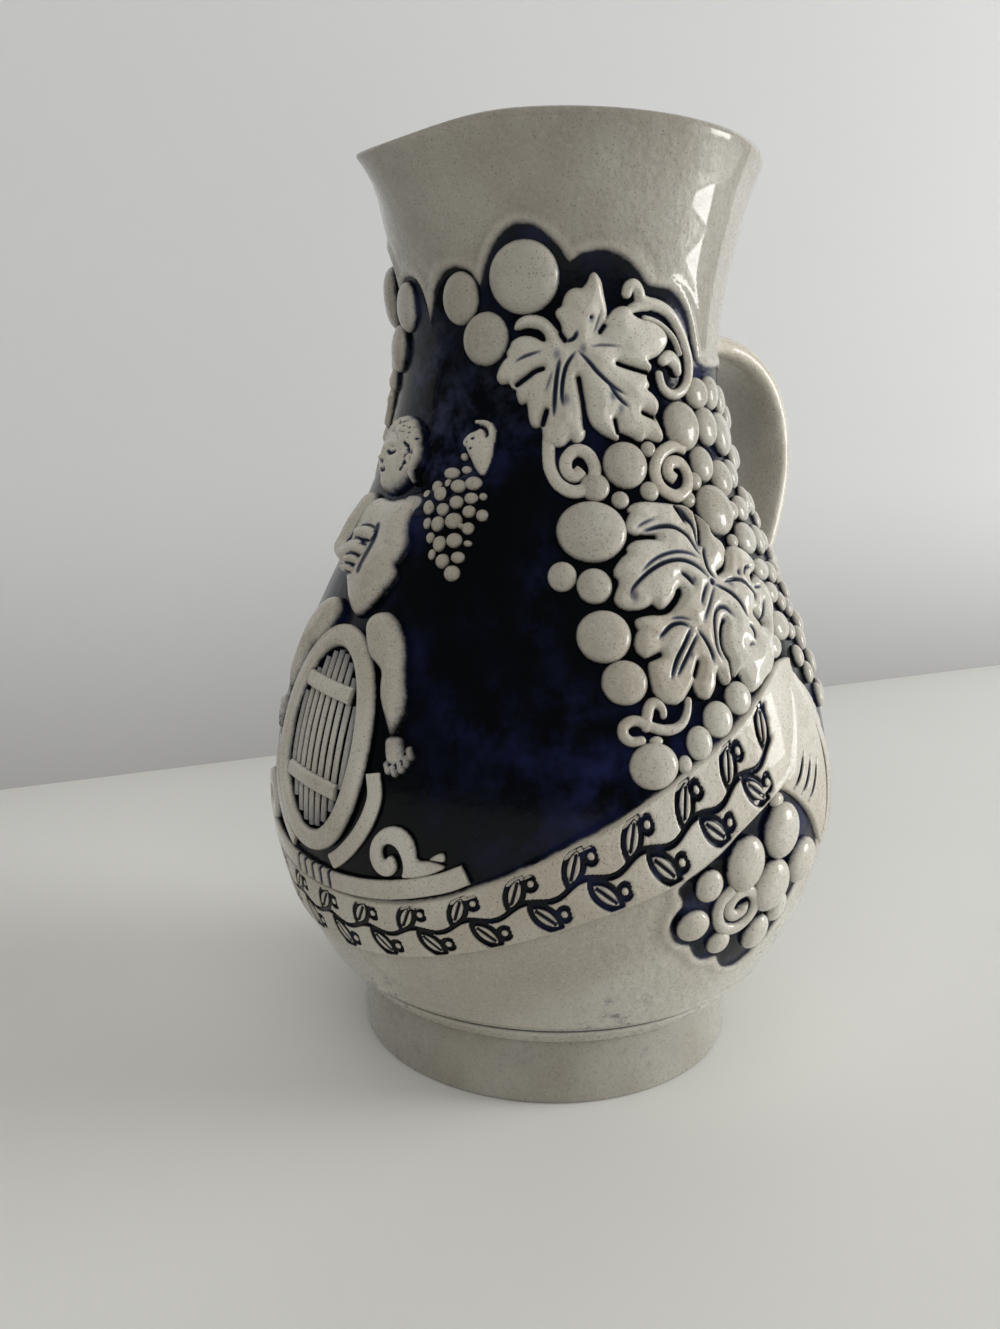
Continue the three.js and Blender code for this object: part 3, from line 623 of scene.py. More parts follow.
# %% The tree for turned clay
WALL_AROUND = 360
WALL_ALONG = 100
SEAM_MERGE = 1e-6
turned_tree, given, turned_end = new_geometry_tree("turned_on_the_wheel", [
    ("Around", "Int", WALL_AROUND), ("Along", "Int", WALL_ALONG), ("Lip Reach", "Float", 0.0),
    ("Lip Dip", "Float", 0.0), ("Lip Half Angle", "Float", LIP_HALF_ANGLE),
    ("Lip Sharpness", "Float", LIP_SHARPNESS), ("Lip Start", "Float", (JUG_HEIGHT - LIP_LENGTH) * MM),
    ("Lip Length", "Float", LIP_LENGTH * MM),
])
grid = add_node(
    turned_tree, "GeometryNodeMeshGrid", Size_X=1.0, Size_Y=1.0,
    Vertices_X=given["Around"] + 1, Vertices_Y=given["Along"] + 1,
)
around_share, along_share, _ = split(turned_tree, position(turned_tree))
turn = around_share * (2 * math.pi)
row = ((along_share + 0.5) * given["Along"]).math("ROUND")
sample = add_node(
    turned_tree, "GeometryNodeSampleIndex", {"data_type": "FLOAT_VECTOR", "domain": "POINT"},
    Geometry=given["Geometry"], Value=position(turned_tree), Index=row,
)
profile_radius, _, profile_height = split(turned_tree, sample)
climb = ((profile_height - given["Lip Start"]) / given["Lip Length"]).math("MAXIMUM", 0.0) ** 2.0
fall = (turn.math("DEGREES").math("ABSOLUTE") / given["Lip Half Angle"]) ** given["Lip Sharpness"]
pull = climb * (fall * -1.0).math("EXPONENT")
radius = profile_radius + given["Lip Reach"] * pull
bent = add_node(
    turned_tree, "ShaderNodeCombineXYZ", X=radius * turn.math("COSINE"), Y=radius * turn.math("SINE"),
    Z=profile_height - given["Lip Dip"] * pull,
)
moved = add_node(turned_tree, "GeometryNodeSetPosition", Geometry=grid, Position=bent)
merged = add_node(turned_tree, "GeometryNodeMergeByDistance", Geometry=moved, Distance=SEAM_MERGE)
end_tree(turned_tree, turned_end, merged, given["Material"])


def turn_clay(name, profile, around, lip_reach=0.0, lip_dip=0.0):
    """Turns a closed profile of (radius, height) in mm."""
    points = [(radius * MM, 0.0, height * MM) for radius, height in [*profile, profile[0]]]
    piece = run_tree(turned_tree, name, line_mesh(name, [points]), {
        "Around": around, "Along": len(profile), "Lip Reach": lip_reach * MM, "Lip Dip": lip_dip * MM,
    })
    turn_outwards(piece)
    return piece


print("inputs of the turned tree:", list(given))

# %% [markdown]
# ## The cobalt ground
#
# The neck and the foot of the wall were wiped clean before firing, so they stay grey. Between them lies
# the cobalt ground, with a scalloped upper border that follows the grapes, and a small field under the
# banner on each side. The borders are drawn as paths, and each point of the wall stores its distance to
# them, in an attribute, "ground". The grey parts lie a little higher than the ground, with a soft
# rounded lip, so the border is a step in the mesh too.

# %% The borders of the ground
UPPER_BORDER = [
    (0, 205), (2.5, 211), (5, 214.5), (9, 216.8), (14, 217.2), (18.5, 216), (21, 213.6), (22, 212),
    (23.5, 215.5), (27, 221), (31.5, 224.8), (36, 226), (41, 225), (46, 221.8), (49.5, 218.3), (51, 217),
    (53, 218.6), (57.5, 220), (63, 220), (68, 218.4), (73, 215.6), (77, 212.4), (84, 212.8), (89, 211),
    (93, 208.2), (96.8, 204), (99, 199), (101.5, 195), (112, 194.5), (125, 196), (138, 194.5), (150, 197),
    (165, 195), (180, 195),
]
BANNER_SWEEP = [
    (0, 61.5), (10, 62), (20, 63.7), (30, 67.7), (35, 71), (43, 76.4), (53, 84.4), (57.4, 87.4), (68.8, 97),
]
BANNER_TOP = [
    *BANNER_SWEEP, (80, 105.6), (90.6, 113.8), (95.2, 117.4), (104, 118), (113, 112), (117, 100),
    (119, 82), (120, 70), (135, 64), (180, 62),
]
LOWER_FIELD = [
    (80, 79), (73, 73.4), (70.6, 71.2), (70.8, 69.5), (71.7, 67.2), (72, 66), (70.8, 64.5), (70, 62),
    (70.2, 59), (71.5, 56), (73.5, 54.6), (74.8, 54.4), (75.2, 53), (76.5, 50.5), (78.5, 48.5),
    (80.5, 48.2), (82.3, 48.7), (83, 47), (84.5, 44.5), (87, 42.7), (89.5, 42.5), (92, 44), (95, 47.8),
    (98.5, 51), (100.5, 55), (99.8, 59), (103, 62), (108, 63), (111, 68), (109.5, 74), (105, 78),
    (104, 90), (98, 97), (90, 92),
]


def mm_per_degree(height):
    """How far one degree reaches round the wall at a height."""
    return np.radians(1) * wall_radius(height)


def ground_depth(azimuth, height):
    """The distance in mm to the border of the cobalt ground, positive inside it."""
    side = np.abs(azimuth)
    depths = []
    for border, sign in ((UPPER_BORDER, 1), (BANNER_TOP, -1)):
        path = soften(border, closed=False)
        middle = mm_per_degree(path[:, 1].mean())
        gap = distance_to(side * middle, height, path * (middle, 1))[0]
        level = np.interp(side, *path.T)
        depths.append(np.where((level - height) * sign > 0, gap, -gap))
    outline = soften(LOWER_FIELD)
    flat = np.stack([outline[:, 0] * mm_per_degree(outline[:, 1]), outline[:, 1]], -1)
    return np.maximum(np.minimum(*depths), depth_in(side * mm_per_degree(height), height, flat))


print("points in the drawn borders:", len(UPPER_BORDER), len(BANNER_TOP), len(LOWER_FIELD))

# %% The profile of the wall
WALL_THICKNESS = 5.5
RIM_THICKNESS = 4.0
WALL_START = 20.3
OUTER_STEP = 1.25
INNER_STEP = 7.0
TURNED_EDGE_TOP = 32.0
rim_bow = RIM_THICKNESS / 2
rim_start = JUG_HEIGHT - rim_bow
outer_heights = np.concatenate([
    np.arange(WALL_START, TURNED_EDGE_TOP, OUTER_STEP / 3),
    np.linspace(TURNED_EDGE_TOP, rim_start, round((rim_start - TURNED_EDGE_TOP) / OUTER_STEP)),
])
inner_heights = np.linspace(rim_start, WALL_START, round((rim_start - WALL_START) / INNER_STEP))
neck_share = np.clip((inner_heights - NECK_HEIGHT) / (rim_start - NECK_HEIGHT), 0, 1)
inner_radii = wall_radius(inner_heights) - WALL_THICKNESS - (RIM_THICKNESS - WALL_THICKNESS) * neck_share
rim_angles = np.radians(np.arange(20, 180, 20))
rim_middle = wall_radius(rim_start) - rim_bow
wall_profile = [
    *zip(wall_radius(outer_heights), outer_heights),
    *zip(rim_middle + rim_bow * np.cos(rim_angles), rim_start + rim_bow * np.sin(rim_angles)),
    *zip(inner_radii, inner_heights),
]
print("points in the wall's profile:", len(wall_profile))

# %% [markdown]
# The border of the ground is a step in the clay as well. Beside it runs a bead of thicker glaze with a
# shallow dip behind it, and over the foot a turned bead and a turned groove go once round. They are all
# soft bells of height.

# %% Turn the wall and lay the ground
EDGE_RISE = 0.6
EDGE_WIDTH = 0.9
BORDER_BEAD = (1.5, 0.9, 0.6)
BORDER_DIP = (4.2, 1.4, 0.25)
TURNED_BEAD = (28.6, 1.3, 0.6)
TURNED_GROOVE = (25.4, 0.75, 0.9)
STEP_STARTS = (24, 32)
STEP_ENDS = (240, 228)
OUTSIDE_SLACK = 1.0
FAR_FROM_GROUND = -50.0
wall = turn_clay("thrown_wall", wall_profile, WALL_AROUND, LIP_REACH, LIP_DIP)
wall_points = points_of(wall)
wall_azimuth, wall_height = azimuth_of(wall_points), wall_points[:, 2] / MM
pulled = lip_pull(wall_azimuth, wall_height)
is_outside = lift_of(wall_points) - LIP_REACH * pulled > -OUTSIDE_SLACK
ground = np.where(is_outside, ground_depth(wall_azimuth, wall_height), FAR_FROM_GROUND)
step = EDGE_RISE * smooth_step(EDGE_WIDTH, -EDGE_WIDTH, ground)
bead, dip = (height * bell(ground + middle, width) for middle, width, height in (BORDER_BEAD, BORDER_DIP))
turned_bead, turned_groove = (
    bell(wall_height - middle, width) * is_outside for middle, width, _ in (TURNED_BEAD, TURNED_GROOVE)
)
turned_edge = TURNED_BEAD[2] * turned_bead - TURNED_GROOVE[2] * turned_groove
fade = smooth_step(*STEP_STARTS, wall_height) * smooth_step(*STEP_ENDS, wall_height) * is_outside
outward = wall_points * (1, 1, 0)
outward /= np.linalg.norm(outward, axis=1, keepdims=True)
set_points(wall, wall_points + outward * (((step + (bead - dip)) * fade + turned_edge) * MM)[:, None])
add_mark(wall.data, "ground", ground)
add_mark(wall.data, "groove", turned_groove)
dress(wall, ["jug_wall"])

# %% [markdown]
# ## The foot
#
# The foot is a shallow turned cup, left nearly bare. Its rim stands back under the wall, and the base
# is turned out a little, so that the jug stands on a ring.

# %% Turn the foot
FOOT_HEIGHT = 20.0
FOOT_SETBACK = 2.4
FOOT_TOP_RADIUS = float(wall_radius(WALL_START)) - FOOT_SETBACK
FOOT_FLARE = 0.8
FOOT_WALL = 7.0
FOOT_RECESS = 1.0
FOOT_RING = 7.0
FLOOR_TOP = 7.0
EDGE_ROUND = 1.2
EDGE_SHARE = 2.2
FOOT_AROUND = 240
FOOT_STEP = 4.0


def rounded_corners(corners, radius, count=5):
    """A closed profile whose corners are rounded, apart from those on the axis."""
    corners = np.array(corners, float)
    rounded = []
    for before, here, after in zip(np.roll(corners, 1, 0), corners, np.roll(corners, -1, 0)):
        if here[0] == 0:
            rounded.append(here)
            continue
        spans = before - here, after - here
        reach = min(radius, *(np.linalg.norm(span) / EDGE_SHARE for span in spans))
        start, stop = (here + span / np.linalg.norm(span) * reach for span in spans)
        for t in np.linspace(0, 1, count):
            rounded.append((1 - t) ** 2 * start + 2 * t * (1 - t) * here + t * t * stop)
    return rounded


def divided(profile, step):
    """A profile with points added on its long stretches."""
    points = []
    for here, after in zip(profile, [*profile[1:], profile[0]]):
        count = max(1, round(float(np.hypot(*(np.array(after) - here))) / step))
        points += [np.array(here) + (np.array(after) - here) * index / count for index in range(count)]
    return points


foot_bottom = FOOT_TOP_RADIUS - FOOT_FLARE
recess_edge = foot_bottom - FOOT_RING
foot_profile = rounded_corners([
    (0, FOOT_RECESS), (recess_edge - FOOT_RECESS, FOOT_RECESS), (recess_edge, 0), (foot_bottom, 0),
    (FOOT_TOP_RADIUS, FOOT_HEIGHT), (FOOT_TOP_RADIUS - FOOT_WALL, FOOT_HEIGHT),
    (foot_bottom - FOOT_WALL, FLOOR_TOP), (0, FLOOR_TOP),
], EDGE_ROUND)
foot = turn_clay("turned_foot", divided(foot_profile[1:] + foot_profile[:1], FOOT_STEP), FOOT_AROUND)
dress(foot, ["foot"])

# %% [markdown]
# ## The handle
#
# A handle is pulled from a lump of wet clay into a strap, bent and pressed on at both ends, where a
# thumb spreads it into the wall. It is lofted here from rounded sections along two curves. Near the
# ends the section grows in width and in thickness, which makes the soft fillets.

# %% The handle's curves and section
HANDLE_TOP = (38.5, 203.0)
HANDLE_WIDE = (93.75, 168.0)
HANDLE_LOW = (69.9, 111.0)
HANDLE_CONTROLS = [
    (HANDLE_TOP, (66.1, 209.8), (93.75, 199.5), HANDLE_WIDE),
    (HANDLE_WIDE, (93.75, 152.25), (83.5, 129.9), HANDLE_LOW),
]
HANDLE_WIDTH = 23.0
HANDLE_ROOT_WIDTH = 31.0
HANDLE_THICKNESS = 8.5
HANDLE_FILLET = 3.2
HANDLE_SIDES = 48
HANDLE_STEPS = 80
SECTION_SQUARENESS = 0.72
HANDLE_HOLLOW = 0.5
ROOT_START = 1.5
ROOT_FADE = 3.5
ROOT_SPREAD = 0.6


def bent_curve(controls, t):
    """A place on a cubic curve of four controls, and its direction there."""
    p0, p1, p2, p3 = (np.array(point) for point in controls)
    middle = (1 - t) ** 3 * p0 + 3 * t * (1 - t) ** 2 * p1 + 3 * t * t * (1 - t) * p2 + t**3 * p3
    along = (1 - t) ** 2 * (p1 - p0) + 2 * t * (1 - t) * (p2 - p1) + t * t * (p3 - p2)
    return middle, along / np.linalg.norm(along)


def squared(values):
    """A sine or cosine pushed outwards, which squares a round section a little."""
    return np.sign(values) * np.abs(values) ** SECTION_SQUARENESS


print("the handle's ends and its widest place:", HANDLE_TOP, HANDLE_LOW, HANDLE_WIDE)


# %% Loft the handle
def loft(name, rows, marks=None):
    """A closed skin through loops of points, with a face over each end."""
    rows = np.asarray(rows)
    count, sides = rows.shape[:2]
    index = np.arange(count * sides).reshape(count, sides)
    after = np.roll(index, -1, 1)
    quads = np.stack([index[:-1], after[:-1], after[1:], index[1:]], -1).reshape(-1, 4)
    piece = new_piece(name, rows.reshape(-1, 3), [quads, index[:1, ::-1], index[-1:]], marks)
    turn_outwards(piece)
    return piece


def handle_rows():
    angle = np.linspace(0, 2 * np.pi, HANDLE_SIDES, endpoint=False)
    rows = []
    for part, controls in enumerate(HANDLE_CONTROLS):
        for t in np.linspace(0, 1, HANDLE_STEPS + 1)[part:]:
            middle, along = bent_curve(controls, t)
            clear = middle[0] - float(wall_radius(middle[1]))
            spread = math.exp(-max(clear - ROOT_START, 0) / ROOT_FADE)
            to_root = abs(part + t - 1) ** 3
            half_width = (HANDLE_WIDTH + (HANDLE_ROOT_WIDTH - HANDLE_WIDTH) * to_root) / 2
            half_width += ROOT_SPREAD * HANDLE_FILLET * spread
            half_thick = HANDLE_THICKNESS / 2 + HANDLE_FILLET * spread
            wide = squared(np.cos(angle)) * half_width
            thick = squared(np.sin(angle)) * half_thick
            hollow = HANDLE_HOLLOW * (1 - (wide / half_width) ** 2) * (np.sin(angle) > 0) * (1 - spread)
            out = thick - hollow
            rows.append(np.stack([-(middle[0] - along[1] * out), wide, middle[1] + along[0] * out], -1) * MM)
    return rows


handle = loft("pulled_handle", handle_rows())
dress(handle, ["handle"])

# %% [markdown]
# ## Bands and coils
#
# Hoops, boards, scrolls and tendrils are strips of clay laid along a path. One tree makes them all. It
# works flat, in the plane of the drawing, because there "up" is the same everywhere: a rounded section
# is swept along the path, and it narrows towards the tips. Afterwards the flat piece is wrapped onto
# the wall: x becomes the way round, y the height, and z the lift.

# %% The tree for bands
SECTION_STEPS = 5
LEAST_TIP = 0.12
TINY = 1e-6
band_tree, given, band_end = new_geometry_tree("band_along_a_path", [
    ("Width", "Float", 4.0 * MM), ("Rise", "Float", 2.0 * MM), ("Sink", "Float", 1.0 * MM),
    ("Round", "Float", 1.0 * MM), ("Start Size", "Float", 1.0), ("End Size", "Float", 1.0),
    ("Tip Length", "Float", 0.0),
])
path = add_node(band_tree, "GeometryNodeMeshToCurve", Mesh=given["Geometry"])
upright = add_node(band_tree, "GeometryNodeSetCurveNormal", {"mode": "Z_UP"}, Curve=path)
place_along = band_tree.nodes.new("GeometryNodeSplineParameter")
factor, passed = Flow(place_along.outputs["Factor"]), Flow(place_along.outputs["Length"])
whole = Flow(band_tree.nodes.new("GeometryNodeSplineLength").outputs["Length"])
taper = (given["End Size"] - given["Start Size"]) * factor + given["Start Size"]
to_end = passed.math("MINIMUM", whole - passed)
short = 1.0 - (to_end / given["Tip Length"].math("MAXIMUM", TINY)).math("MINIMUM", 1.0)
tip = (1.0 - short ** 2.0).math("SQRT").math("MAXIMUM", LEAST_TIP)
tip = tip.math("MAXIMUM", given["Tip Length"].math("LESS_THAN", TINY))
sized = add_node(band_tree, "GeometryNodeSetCurveRadius", Curve=upright, Radius=taper * tip)
section = add_node(
    band_tree, "GeometryNodeCurvePrimitiveQuadrilateral", Width=given["Width"],
    Height=given["Rise"] + given["Sink"],
)
offset = add_node(band_tree, "ShaderNodeCombineXYZ", Y=(given["Sink"] - given["Rise"]) * 0.5)
lifted = add_node(band_tree, "GeometryNodeSetPosition", Geometry=section, Offset=offset)
rounded = add_node(
    band_tree, "GeometryNodeFilletCurve", {"mode": "POLY"}, Curve=lifted, Radius=given["Round"],
    Count=SECTION_STEPS, Limit_Radius=True,
)
swept = add_node(band_tree, "GeometryNodeCurveToMesh", Curve=sized, Profile_Curve=rounded, Fill_Caps=True)
end_tree(band_tree, band_end, swept, given["Material"])
print("inputs of the band tree:", list(given))

# %% Wrap a flat band onto the wall
BAND_SINK = 1.0


def wrap(piece, middle, top):
    """Bends a flat piece in metres onto the wall about a middle azimuth, and marks how high it lies."""
    x, y, z = (points_of(piece) / MM).T
    set_points(piece, on_wall(middle + np.degrees(x / wall_radius(y)), y, z))
    add_mark(piece.data, "bare", z / top)
    turn_outwards(piece)


def flat_band(name, routes, width, rise, round_by, closed=False, sizes=(1.0, 1.0), tip=0.0, middle=0.0):
    """Strips of clay along flat routes in mm, all in one run of the tree."""
    paths = [[(x * MM, y * MM, 0.0) for x, y in route] for route in routes]
    piece = run_tree(band_tree, name, line_mesh(name, paths, closed), {
        "Width": width * MM, "Rise": rise * MM, "Sink": BAND_SINK * MM, "Round": round_by * MM,
        "Start Size": sizes[0], "End Size": sizes[1], "Tip Length": tip * MM,
    })
    wrap(piece, middle, rise)
    return piece


def band(name, places, *sizes, step=0.7, **settings):
    """A strip of clay along a path of drawn places."""
    middle = sum(place[0] for place in places) / len(places)
    return flat_band(name, [follow(flatten(places, middle), step)], *sizes, middle=middle, **settings)


print("bands sink into the wall by mm:", BAND_SINK)

# %% [markdown]
# ## The cask
#
# On the front stands the head of a wine cask: a hoop round a row of boards, with two battens across
# them, in a cradle on a curved base board. All of these are bands. The boards are nine short paths in
# one mesh, and the tree sweeps the section along each of them, so one run makes the whole row. The
# battens lean a little, as they do on the old jug.

# %% The hoop
CASK_HEIGHT = 99.3
HOOP_HALF_WIDTH = 17.4
HOOP_HALF_HEIGHT = 25.8
HOOP_WIDTH = 5.6
HOOP_RISE = 2.8
HOOP_ROUND = 2.2
HOOP_POINTS = 48
angles = np.linspace(0, 2 * np.pi, HOOP_POINTS, endpoint=False)
oval = np.stack([HOOP_HALF_WIDTH * np.cos(angles), CASK_HEIGHT + HOOP_HALF_HEIGHT * np.sin(angles)], -1)
hoop_path = follow(oval, step=0.8, closed=True)
hoop = flat_band("cask_hoop", [hoop_path], HOOP_WIDTH, HOOP_RISE, HOOP_ROUND, closed=True)
dress(hoop, ["cask_rim"])

# %% Boards and battens
BOARD_COUNT = 9
BOARD_GAP = 1.2
BOARD_RISE = 1.0
BOARD_ROUND = 0.5
BOARD_BULGE = 0.1
BOARD_STEPS = 24
FULLEST_SHARE = 0.96
HOOP_CLEARANCE = 0.8
BATTEN_HEIGHTS = (112.2, 88.8)
BATTEN_WIDTH = 4.2
BATTEN_RISE = 2.3
BATTEN_ROUND = 1.2
BATTEN_CLEARANCE = 0.9
BATTEN_TILT = 0.7
BATTEN_TAPER = (0.9, 0.9)
inner_half_width = HOOP_HALF_WIDTH - HOOP_WIDTH / 2 - HOOP_CLEARANCE
inner_half_height = HOOP_HALF_HEIGHT - HOOP_WIDTH / 2 - HOOP_CLEARANCE
board_pitch = 2 * inner_half_width / BOARD_COUNT
board_routes = []
for index in range(BOARD_COUNT):
    across = board_pitch * (index - (BOARD_COUNT - 1) / 2)
    reach = inner_half_height * math.sqrt(1 - min(FULLEST_SHARE, (abs(across) / inner_half_width) ** 2))
    heights = np.linspace(CASK_HEIGHT - reach, CASK_HEIGHT + reach, BOARD_STEPS)
    bulge = 1 - BOARD_BULGE * ((heights - CASK_HEIGHT) / inner_half_height) ** 2
    board_routes.append(np.stack([across * bulge, heights], -1))
boards = flat_band("cask_staves", board_routes, board_pitch - BOARD_GAP, BOARD_RISE, BOARD_ROUND)
for height, place in zip(BATTEN_HEIGHTS, ("upper", "lower")):
    reach = inner_half_width * math.sqrt(1 - ((height - CASK_HEIGHT) / inner_half_height) ** 2)
    reach -= BATTEN_CLEARANCE
    route = [(x, height - BATTEN_TILT * x / reach) for x in np.linspace(-reach, reach, BOARD_STEPS)]
    batten = flat_band(
        f"cask_crossbar_{place}", [route], BATTEN_WIDTH, BATTEN_RISE, BATTEN_ROUND, sizes=BATTEN_TAPER,
    )
    dress(batten, [f"cask_batten_{place}"])

# %% [markdown]
# The wash was never wiped quite clean off the boards. A faint stain on them grows towards the hoop.

# %% Stain the boards
BOARD_STAIN = 0.13
HOOP_STAIN = 0.22
STAIN_RADIUS = 74
board_points = points_of(boards) / MM
from_middle = np.hypot(
    azimuth_of(board_points) * math.radians(1) * STAIN_RADIUS / inner_half_width,
    (board_points[:, 2] - CASK_HEIGHT) / inner_half_height,
)
add_mark(boards.data, "groove", BOARD_STAIN + HOOP_STAIN * np.minimum(from_middle, 1) ** 4)
dress(boards, ["cask_boards"])

# %% [markdown]
# A strip on each side cradles the cask, and a long board carries both. Five short notches are cut
# across its middle.

# %% Cradle and base board
CRADLE_PATH = [(16.2, 95.2), (17, 90), (16.1, 85), (14.1, 80), (11.4, 75.4), (8.8, 72.0), (6.6, 69.9)]
CRADLE_WIDTH = 4.2
CRADLE_RISE = 1.7
CRADLE_TAPER = (1.0, 0.75)
BASE_PATH = [(0, 64.3), (10, 64.9), (20, 67.2), (30, 71.6), (34.8, 74.9)]
BASE_WIDTH = 4.9
BASE_RISE = 1.9
PLANK_ROUND = 0.8
NOTCHES = (-5.4, -2.7, 0, 2.7, 5.4)
NOTCH_WIDTH = 0.4
NOTCH_DEPTH = 1.1
cradle = band("cradle_right", CRADLE_PATH, CRADLE_WIDTH, CRADLE_RISE, PLANK_ROUND, sizes=CRADLE_TAPER)
dress_pair(cradle, ["cask_cradle"])
base_path = [(-azimuth, height) for azimuth, height in BASE_PATH[:0:-1]] + BASE_PATH
base_board = band("base_plank", base_path, BASE_WIDTH, BASE_RISE, PLANK_ROUND, step=0.35)
plank = points_of(base_board)
notch = np.maximum.reduce([bell(azimuth_of(plank) - place, NOTCH_WIDTH) for place in NOTCHES])
cut = NOTCH_DEPTH * notch * (lift_of(plank) > BASE_RISE / 2)
set_points(base_board, plank * (1 - (cut * MM / np.hypot(*plank[:, :2].T))[:, None] * (1, 1, 0)))
add_mark(base_board.data, "groove", notch)
dress(base_board, ["cask_base_board"])

# %% [markdown]
# ## Scrolls and tendrils
#
# A volute stands on each end of the base board, and its outer end runs out along the board with a small
# flag. The volute is pressed from a drawn outline. The two tendrils with forks, the hook and the small
# curl, are pressed as well, from limbs laid over one another: in a distance field touching limbs simply
# join. The plain curls are thin rolled coils: bands again, with a nearly round section that gets
# thinner towards the tip.

# %% Tendrils with forks
TENDRIL_RISE = 1.9
COIL_PITCH = 0.3
HOOK_LIMBS = [
    ([
        (75.5, 208.7), (80, 208.4), (84.6, 207.3), (88.2, 205.2), (91.3, 202.4), (94, 198.8), (95.8, 195.2),
        (95.2, 191.6), (92.8, 188.6), (89, 186.9), (85.4, 186.8), (82.4, 188.6), (81.6, 191.6),
    ], [1.75, 1.7, 1.6, 1.6, 1.6, 1.5, 1.2]),
    (
        [(69.2, 210.6), (69.6, 212.2), (71.6, 212.8), (73.4, 211.2), (74, 209.2), (77, 208.6)],
        [1.5, 1.7, 1.6, 1.7, 1.7],
    ),
    ([(70, 206.6), (73, 207.8), (77, 208.3)], [1.2, 1.6, 1.7]),
    ([(76, 205.0), (80, 204.6), (84.6, 202.8), (88.4, 200.4), (90.6, 197)], [0.9, 0.8, 0.8, 0.6]),
    ([(83.4, 195.2), (86.2, 196.2), (89, 194.6), (89.6, 192.6)], [1.6, 2.2, 2.1, 1.4]),
]
SMALL_CURL_LIMBS = [
    ([
        (64, 106.7), (62.1, 106.4), (60.8, 107.8), (60.7, 109.7), (61.9, 111), (63.4, 111.2),
        (64.9, 110.3), (66.4, 109.3), (68.7, 108.6), (70.6, 108.8), (72.1, 109.8), (73, 111.3),
        (73.6, 113.2), (73.8, 114.8),
    ], [1.25, 1.5, 1.4, 1.4, 1.4, 1.2, 1.0]),
    (
        [(65, 109.6), (65.4, 112), (65.9, 114.1), (66.9, 115), (68, 114.4), (68.6, 112.9), (68.5, 111.9)],
        [1.4, 1.6, 1.4, 0.9],
    ),
]
FORKED = {
    "hook": (HOOK_LIMBS, (66, 100), (183, 216)),
    "small_curl": (SMALL_CURL_LIMBS, (57, 77), (103, 118)),
}
for name, (limbs, azimuths, heights) in FORKED.items():
    field = Field(azimuths, heights, COIL_PITCH)
    coil = np.maximum.reduce([limb(field, path, widths, [TENDRIL_RISE]) for path, widths in limbs])
    coil = press(f"vine_{name}_right", field, coil, TENDRIL_RISE)
    dress_pair(coil, [f"tendril_{name}"])

# %% Volutes
VOLUTE = [
    (31.6, 75.9), (30.1, 76.7), (28, 76.9), (26, 76.4), (25.9, 78.7), (25.2, 81.8), (23.4, 83.8),
    (21.1, 84.1), (18.8, 82.5), (17.1, 79.9), (16.3, 76.6), (16.5, 73.7), (17.5, 71.4), (19, 70.3),
    (20.7, 70.7), (21.9, 72.2), (22.2, 74.2), (21.5, 76.3), (20.5, 76.4), (19.6, 75), (19.1, 75.8),
    (19.3, 78.1), (20.7, 79.2), (22.2, 78.5), (23.1, 76.2), (23.3, 73.7), (22.7, 71), (25.8, 71.8),
    (28.8, 73.5),
]
VOLUTE_FLAG = [(27.6, 77), (30.9, 80.2), (31.4, 76.9), (29.5, 76.9)]
VOLUTE_RISE = 2.0
VOLUTE_PITCH = 0.25
volute_field = Field((14, 33.5), (68.5, 86), VOLUTE_PITCH)
volute = pillow(volute_field.depth(VOLUTE, 1), 1.1, VOLUTE_RISE)
flag = pillow(volute_field.depth(VOLUTE_FLAG), 0.8, VOLUTE_RISE * 0.7)
volute = press("volute_right", volute_field, np.maximum(volute, flag), VOLUTE_RISE)
dress_pair(volute, ["scroll"])

# %% Plain curls
TENDRIL_WIDTH = 3.3
TENDRIL_ROUND = 1.35
TENDRIL_TIP = 1.3
TENDRIL_TAPER = (1.0, 0.8)
TENDRILS = {
    "left_curl": [
        (45.9, 175), (46, 171.5), (46.6, 168), (49, 164.4), (53, 162.7), (57, 164.2), (58.7, 168),
        (57, 171.6), (53.6, 172.6), (50.9, 170.4), (51, 167.6), (53.2, 166.4), (55, 167.8),
    ],
    "middle_curl": [
        (88.4, 173.4), (84.5, 174.0), (79.5, 172.2), (76.4, 168.2), (77.4, 163.9), (81.6, 161.8),
        (86, 163.2), (87.6, 166.8), (85.6, 169.8), (82, 169.8), (80.6, 167.4), (82.4, 165.8),
    ],
    "field_curl": [
        (81.8, 68.3), (79.6, 65.6), (79.4, 61.6), (81.2, 57.8), (84.6, 56.8), (87.6, 59.4), (88, 63.6),
        (85.8, 66.8), (82.8, 66.2), (81.6, 63.2), (83, 60.8), (85, 61.6), (85, 63.4),
    ],
}
for name, places in TENDRILS.items():
    curl = band(
        f"vine_{name}_right", places, TENDRIL_WIDTH, TENDRIL_RISE, TENDRIL_ROUND,
        sizes=TENDRIL_TAPER, tip=TENDRIL_TIP, step=0.6,
    )
    dress_pair(curl, [f"tendril_{name}"])

# %% [markdown]
# ## Grapes
#
# Every grape is the same full round bun, half sunk into the clay at its own place, size and tilt. That
# is what instances are for. The tree makes one bun, places it on points that carry their size and turn
# as attributes, and varies it a little with a fixed seed, because no two were pressed alike.

